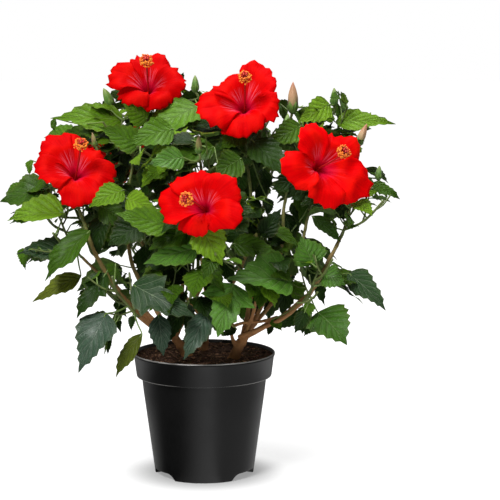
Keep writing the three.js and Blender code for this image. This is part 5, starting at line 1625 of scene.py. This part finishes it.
def layPetal(axes, flower, number, draw):
    v, s = petalAcross, petalAlong ** 0.9
    rim = [flower["rim"][(3 * number + i) % 15] for i in range(4)]
    middle = math.radians(flower["turn"] + 72 * number + 36)
    half = math.radians(blossomLook["half"] + 4 * draw()) * (0.90 + 0.16 * np.sin(s * 2.4))
    phase = draw() * 6
    frill = np.sin(v * 7.5 + phase) + 0.6 * np.sin(v * 13 + phase * 2)
    jag = np.sin(v * 31 + phase * 3) * 0.6 + np.sin(v * 53 + phase) * 0.4
    top = max(rim[1], rim[2]) * 0.5 + (rim[1] + rim[2]) * 0.25
    edge = np.interp(v, (-1, -0.62, -0.3, 0, 0.3, 0.62, 1), (
        rim[0] * 0.90, rim[0] * 0.35 + rim[1] * 0.65, rim[1], top,
        rim[2], rim[2] * 0.65 + rim[3] * 0.35, rim[3] * 0.90))
    size = (rim[1] + rim[2]) / (2 * blossomRule["radius"])
    reach = edge * s * (1 + (flower.get("jag", blossomLook["jag"]) * jag + 0.02 * frill) * s ** 6)
    swing = middle + v * half + 0.10 * (draw() - 0.5) * s
    height = corollaHeight(s) + blossomLook["overlap"] * v * s ** 0.6
    height = height + (draw() - 0.5) * 10 * s ** 2 + (size - 1) * 6 * s
    height = height + blossomLook["ruffle"] * s ** 2.2 * np.sin(v * 4.2 + phase) * (0.4 + np.abs(v))
    height = height + blossomLook["frill"] * s ** 7 * np.sin(v * 17 + phase * 1.7)
    height = height - blossomLook["droop"] * s ** 9
    swells = np.array([
        noise.noise(Vector((math.cos(turn) * away / 15, math.sin(turn) * away / 15, number * 3.7 + phase)))
        for turn, away in zip(swing, reach)
    ])
    height = height + swells * blossomLook["swell"] * np.minimum(1, s * 1.6)
    streak = 1.0 if number in flower["streaked"] else 0.12
    shade = flower.get("shade", 1.0) * (0.95 + 0.1 * draw())
    uv = np.stack([(v + 1) / 2, s], axis=1)
    points = roundAxis(axes, swing, reach, height)
    return copyOf(points, petalFaces, uv, streak=streak, shade=shade, crest=swells)


deselect()
bpy.ops.mesh.primitive_cone_add(vertices=30, radius1=1.0, radius2=1.0, depth=2.0, end_fill_type="NOTHING")
cup = bpy.context.active_object
makeActive(cup)
editAll()
bpy.ops.mesh.subdivide(number_cuts=5)
editMode(False)
cupPoints, cupFaces = pattern(cup)
cupTurn, cupAlong = np.arctan2(cupPoints[:, 1], cupPoints[:, 0]), (cupPoints[:, 2] + 1) / 2


def layCup(axes, profile, depth, draw):  # a calyx of five lobes: profile gives (share, radius) up it
    radius = np.interp(cupAlong, [share for share, wide in profile], [wide for share, wide in profile])
    tooth = np.abs(np.mod(cupTurn * 5 / (2 * math.pi) + 0.5, 1) - 0.5) * 2
    height = cupAlong * depth * (1 - 0.42 * tooth * cupAlong ** 2)
    radius = radius * (1 + 0.05 * np.cos(cupTurn * 10)) * (1 - 0.12 * (1 - tooth) * cupAlong ** 4)
    uv = np.stack([cupTurn / (2 * math.pi) + 0.5, cupAlong], axis=1)
    return copyOf(roundAxis(axes, cupTurn, radius, height), cupFaces, uv, tint=draw(), worn=draw())


def layBracts(axes, look, length, draw):  # narrow pointed blades round a foot
    foot, right, top, faces = axes
    laid = []
    rise = look["rise"]
    for i in range(look["count"]):
        turn = i * 2 * math.pi / look["count"] + look["turn"]
        out = right * math.cos(turn) + top * math.sin(turn)
        base = foot + out * look["aside"] + faces * look["ahead"]
        tip = base + unit(out * (1 - rise) + faces * rise) * length
        blade = makeBlade(base, base, tip, unit(out * rise - faces * (1 - rise)), look["width"], 0.35)
        points = bladePoints(blade, sheetAlong, sheetAcross, look["width"] / 2 * halves["slender"])
        laid.append(copyOf(points, sheetFaces, sheetMap, tint=draw(), worn=draw()))
    return laid


petals, pollenGrains, stigmas, columnRuns, threadRuns, greens = [], [], [], [], [], []
draw = drawsFrom(7103)
for name, flower in flowers.items():
    axes = axesAt(*blossoms[name])
    at, right, top, faces = axes
    for number in range(5):
        petals.append(layPetal(axes, flower, number, draw))
    sideways, upwards = flower["bend"]
    length = blossomRule["column"] * flower.get("shorter", 1.0)
    line = [
        at - faces * 24, at - faces * 6,
        at + faces * length * 0.5 + (right * sideways + top * upwards) * 0.25,
        at + faces * length * 0.98 + right * sideways + top * upwards,
    ]
    columnRuns.append(([pointOn(line, i / 24) for i in range(25)], [1.25 - 0.4 * i / 24 for i in range(25)]))
    heading = headingOn(line, 1)
    side = squareTo(heading, right)
    over = np.cross(heading, side)
    for i in range(blossomLook["anthers"]):
        root = pointOn(line, 0.87 + 0.12 * ((i + 0.5) / blossomLook["anthers"]))
        turn = i * 2.399
        stretch = 4.0 + 3.6 * draw()
        out = side * math.cos(turn) + over * math.sin(turn)
        spot = root + out * stretch + heading * (1.0 + 2.0 * draw())
        threadRuns.append(([root, spot], [0.28, 0.22]))
        size = 1.1 + 0.5 * draw()
        points = pebblePoints * size * np.array([1, 0.85, 0.85]) + spot
        pollenGrains.append(copyOf(points, pebbleFaces, tint=draw()))
    for i in range(blossomLook["stigmas"]):
        turn = i * 2 * math.pi / 5 + 0.4
        spot = pointOn(line, 1) + (side * math.cos(turn) + over * math.sin(turn)) * 2.6 + heading * 3.2
        threadRuns.append(([pointOn(line, 0.99), spot], [0.5, 0.4]))
        stigmas.append(copyOf(pebblePoints * 1.25 + spot, pebbleFaces, tint=draw()))
    axes = (at - faces * (blossomRule["calyxLength"] + 2), right, top, faces)
    greens.append(layCup(axes, blossomLook["calyx"], blossomLook["calyxDepth"], draw))
    greens += layBracts(axes, blossomLook["bracts"], blossomLook["bractLength"], draw)

# buds: green ones still shut in their calyx, and long cream ones with the petals rolled round each other

budLook = dict(
    # from what length a bud is cream, and where a shorter one is tan
    creamFrom=26, tan=("mass_upper_middle", "mass_left_high"),
    rolled=dict(fullness=0.78, bluntness=0.85, girth=0.155, cup=0.42),
    shut=dict(fullness=0.72, bluntness=0.75, girth=0.22, cup=0.5),
    bracts=dict(count=6, turn=0.3, aside=1.6, ahead=0.0, width=1.9, rise=0.62), bractShare=0.36,
)
deselect()
bpy.ops.mesh.primitive_uv_sphere_add(segments=20, ring_count=16, radius=1.0)
ballPoints, ballFaces = pattern(bpy.context.active_object)
ballTurn = np.arctan2(ballPoints[:, 1], ballPoints[:, 0])
ballAlong = np.arccos(np.clip(1 - 2 * ((ballPoints[:, 2] + 1) / 2), -1, 1)) / math.pi
ballMap = np.stack([ballTurn / (2 * math.pi) + 0.5, ballAlong], axis=1)
budPiles = dict(greenBuds=[], tanBuds=[], creamBuds=[])
for name, mass in masses.items():
    for at, faces, length in mass.get("buds", ()):
        axes = axesAt(at, faces)
        if length > budLook["creamFrom"] or name in budLook["tan"]:
            look, kind = budLook["rolled"], "creamBuds" if length > budLook["creamFrom"] else "tanBuds"
            ribs = 1 + 0.10 * np.sin(ballTurn * 5 + ballAlong * 7)
        else:
            look, kind = budLook["shut"], "greenBuds"
            ribs = 1 + 0.05 * np.cos(ballTurn * 10) + 0.06 * np.cos(ballTurn * 5)
        body = np.sin(math.pi * np.clip(ballAlong, 0, 1) ** look["fullness"]) ** look["bluntness"]
        radius = length * look["girth"]
        points = roundAxis(axes, ballTurn, radius * body * ribs, ballAlong * length)
        budPiles[kind].append(copyOf(points, ballFaces, ballMap, tint=draw(), worn=draw()))
        foot, right, top, faces = axes
        wide = radius * 1.12
        profile = [(0, 1.5), (0.2, wide * 0.72), (0.55, wide * 1.02), (1, wide * 1.08)]
        greens.append(layCup((foot - faces * 0.6, right, top, faces), profile, length * look["cup"], draw))
        greens += layBracts(axes, budLook["bracts"], length * budLook["bractShare"], draw)

petalPiece = joinCopies("petals", petals)
useModifier(petalPiece, "SOLIDIFY", thickness=blossomLook["petalThickness"] * mm, offset=0.0)
petalPiece.data.shade_smooth()
petalSkin, tree, skin = newMaterial("petalSkin", {
    "Specular IOR Level": 0.02, "Emission Color": blossomLook["glow"], "Emission Strength": 0.100,
})  # it glows a little with the light that comes through the thin petal
petalMap = axesOf(tree, "UV")
outward = petalMap[1]
fromMiddle = calc(tree, "ABSOLUTE", calc(tree, "MULTIPLY_ADD", petalMap[0], 2.0, -1.0))
fan = addShader(tree, "CombineXYZ", {
    0: calc(tree, "MULTIPLY", petalMap[0], 26.0), 1: calc(tree, "MULTIPLY", outward, 1.4)}).outputs[0]
fan = addShader(tree, "TexNoise", {"Vector": fan, "Scale": 1.0, "Detail": 3.0, "Distortion": 0.25}).outputs[0]
soft = useGroup(tree, mottle, {"Patch Scale": 55.0, "Fine Scale": 420.0}).outputs
tone = blend(tree, spread(tree, fan, 0.38, 0.62), blossomLook["line"], blossomLook["red"])
# partly a random warmer tint, partly a painted highlight: the raised crests of the ruffles are lighter and
# warmer
warmth = spread(tree, calc(tree, "MULTIPLY_ADD", soft["Patches"], 0.5, ownValue(tree, "crest")), 0.25, 0.75)
tone = blend(tree, calc(tree, "MULTIPLY", warmth, 0.55), tone, blossomLook["warm"])
rays = calc(tree, "MULTIPLY", spread(tree, outward, 0.17, 0.26), spread(tree, outward, 0.54, 0.26))
rayLines = calc(tree, "MULTIPLY", spread(tree, fan, 0.47, 0.63), spread(tree, fromMiddle, 0.85, 0.2))
rays = calc(tree, "MULTIPLY", calc(tree, "MULTIPLY", rays, rayLines), ownValue(tree, "streak"))
tone = blend(tree, calc(tree, "MULTIPLY", rays, 0.72), tone, blossomLook["streak"])
tone = blend(tree, spread(tree, outward, 0.36, 0.14, 0.0, 0.8), tone, blossomLook["magenta"])
throat = spread(tree, calc(tree, "MULTIPLY_ADD", fan, -0.05, outward), 0.17, 0.06)
tone = shaded(tree, blend(tree, throat, tone, blossomLook["maroon"]), ownValue(tree, "shade"))
tree.links.new(tone, skin.inputs["Base Color"])
tree.links.new(spread(tree, soft["Both"], 0.0, 1.0, 0.50, 0.68), skin.inputs["Roughness"])
addBump(tree, skin, calc(tree, "MULTIPLY_ADD", soft["Fine"], 0.25, fan), 0.6, 0.0011)
flowered = list(flowers)
finishPiece(petalPiece, petalSkin, flowered)

columnPiece = tubeCurve("columns", columnRuns + threadRuns)
columnSkin, tree, skin = newMaterial("columnSkin", {"Roughness": 0.45})
flecked = useGroup(tree, mottle, {"Patch Scale": 300.0, "Fine Scale": 1200.0}).outputs["Both"]
tone = blend(tree, flecked, blossomLook["columnDeep"], blossomLook["columnRed"])
tree.links.new(tone, skin.inputs["Base Color"])
finishPiece(columnPiece, columnSkin, flowered)

for name, pile, low, high in (
    ("anthers", pollenGrains, rgb(0.78, 0.092, 0.003), rgb(0.95, 0.320, 0.010)),
    ("stigmas", stigmas, rgb(0.42, 0.004, 0.008), rgb(0.80, 0.035, 0.020)),
):
    piece = joinCopies(name, pile)
    powder, tree, skin = newMaterial(name + "Powder", {"Roughness": 0.8, "Sheen Weight": 0.12})
    dust = useGroup(tree, mottle, {"Patch Scale": 300.0, "Fine Scale": 900.0}).outputs["Fine"]
    share = calc(tree, "MULTIPLY_ADD", dust, 0.5, calc(tree, "MULTIPLY", ownValue(tree, "tint"), 0.6))
    tree.links.new(blend(tree, share, low, high), skin.inputs["Base Color"])
    addBump(tree, skin, dust, 0.8, 0.0006)
    finishPiece(piece, powder, flowered)

budded = [name for name, mass in masses.items() if mass.get("buds")]
greenery = dict(  # colour at the foot, along the body and at the tip
    calyxes=(rgb(0.075, 0.165, 0.020), rgb(0.115, 0.260, 0.032), rgb(0.200, 0.330, 0.060)),
    greenBuds=(rgb(0.070, 0.180, 0.020), rgb(0.125, 0.285, 0.040), rgb(0.240, 0.330, 0.070)),
    tanBuds=(rgb(0.120, 0.165, 0.030), rgb(0.270, 0.240, 0.075), rgb(0.330, 0.215, 0.090)),
    creamBuds=(rgb(0.400, 0.330, 0.130), rgb(0.600, 0.370, 0.190), rgb(0.520, 0.205, 0.120)),
)
for name, (foot, body, tip) in greenery.items():
    piece = joinCopies(name, budPiles.get(name, greens))
    budSkin, tree, skin = newMaterial(name + "Skin", {"Roughness": 0.5, "Sheen Weight": 0.15})
    budMap = axesOf(tree, "UV")
    ribs = addShader(tree, "CombineXYZ", {0: calc(tree, "MULTIPLY", budMap[0], 40.0), 1: budMap[1]})
    ribs = addShader(tree, "TexNoise", {"Vector": ribs.outputs[0], "Scale": 1.0, "Detail": 2.0}).outputs[0]
    downy = useGroup(tree, mottle, {"Patch Scale": 120.0, "Fine Scale": 900.0}).outputs["Patches"]
    upward = calc(tree, "MULTIPLY_ADD", calc(tree, "SUBTRACT", downy, 0.5), 0.5, budMap[1])
    tone = blend(tree, spread(tree, upward, 0.0, 0.55), foot, body)
    tone = blend(tree, spread(tree, upward, 0.5, 1.0), tone, tip)
    tone = blend(tree, calc(tree, "MULTIPLY", ribs, 0.35), tone, rgb(0.05, 0.06, 0.02), "MULTIPLY")
    tree.links.new(tone, skin.inputs["Base Color"])
    addBump(tree, skin, ribs, 0.5, 0.0008)
    finishPiece(piece, budSkin, budded if name in budPiles else flowered + budded)
print("blossoms and buds:", len(petals), "petals,", sum(len(pile) for pile in budPiles.values()), "buds")
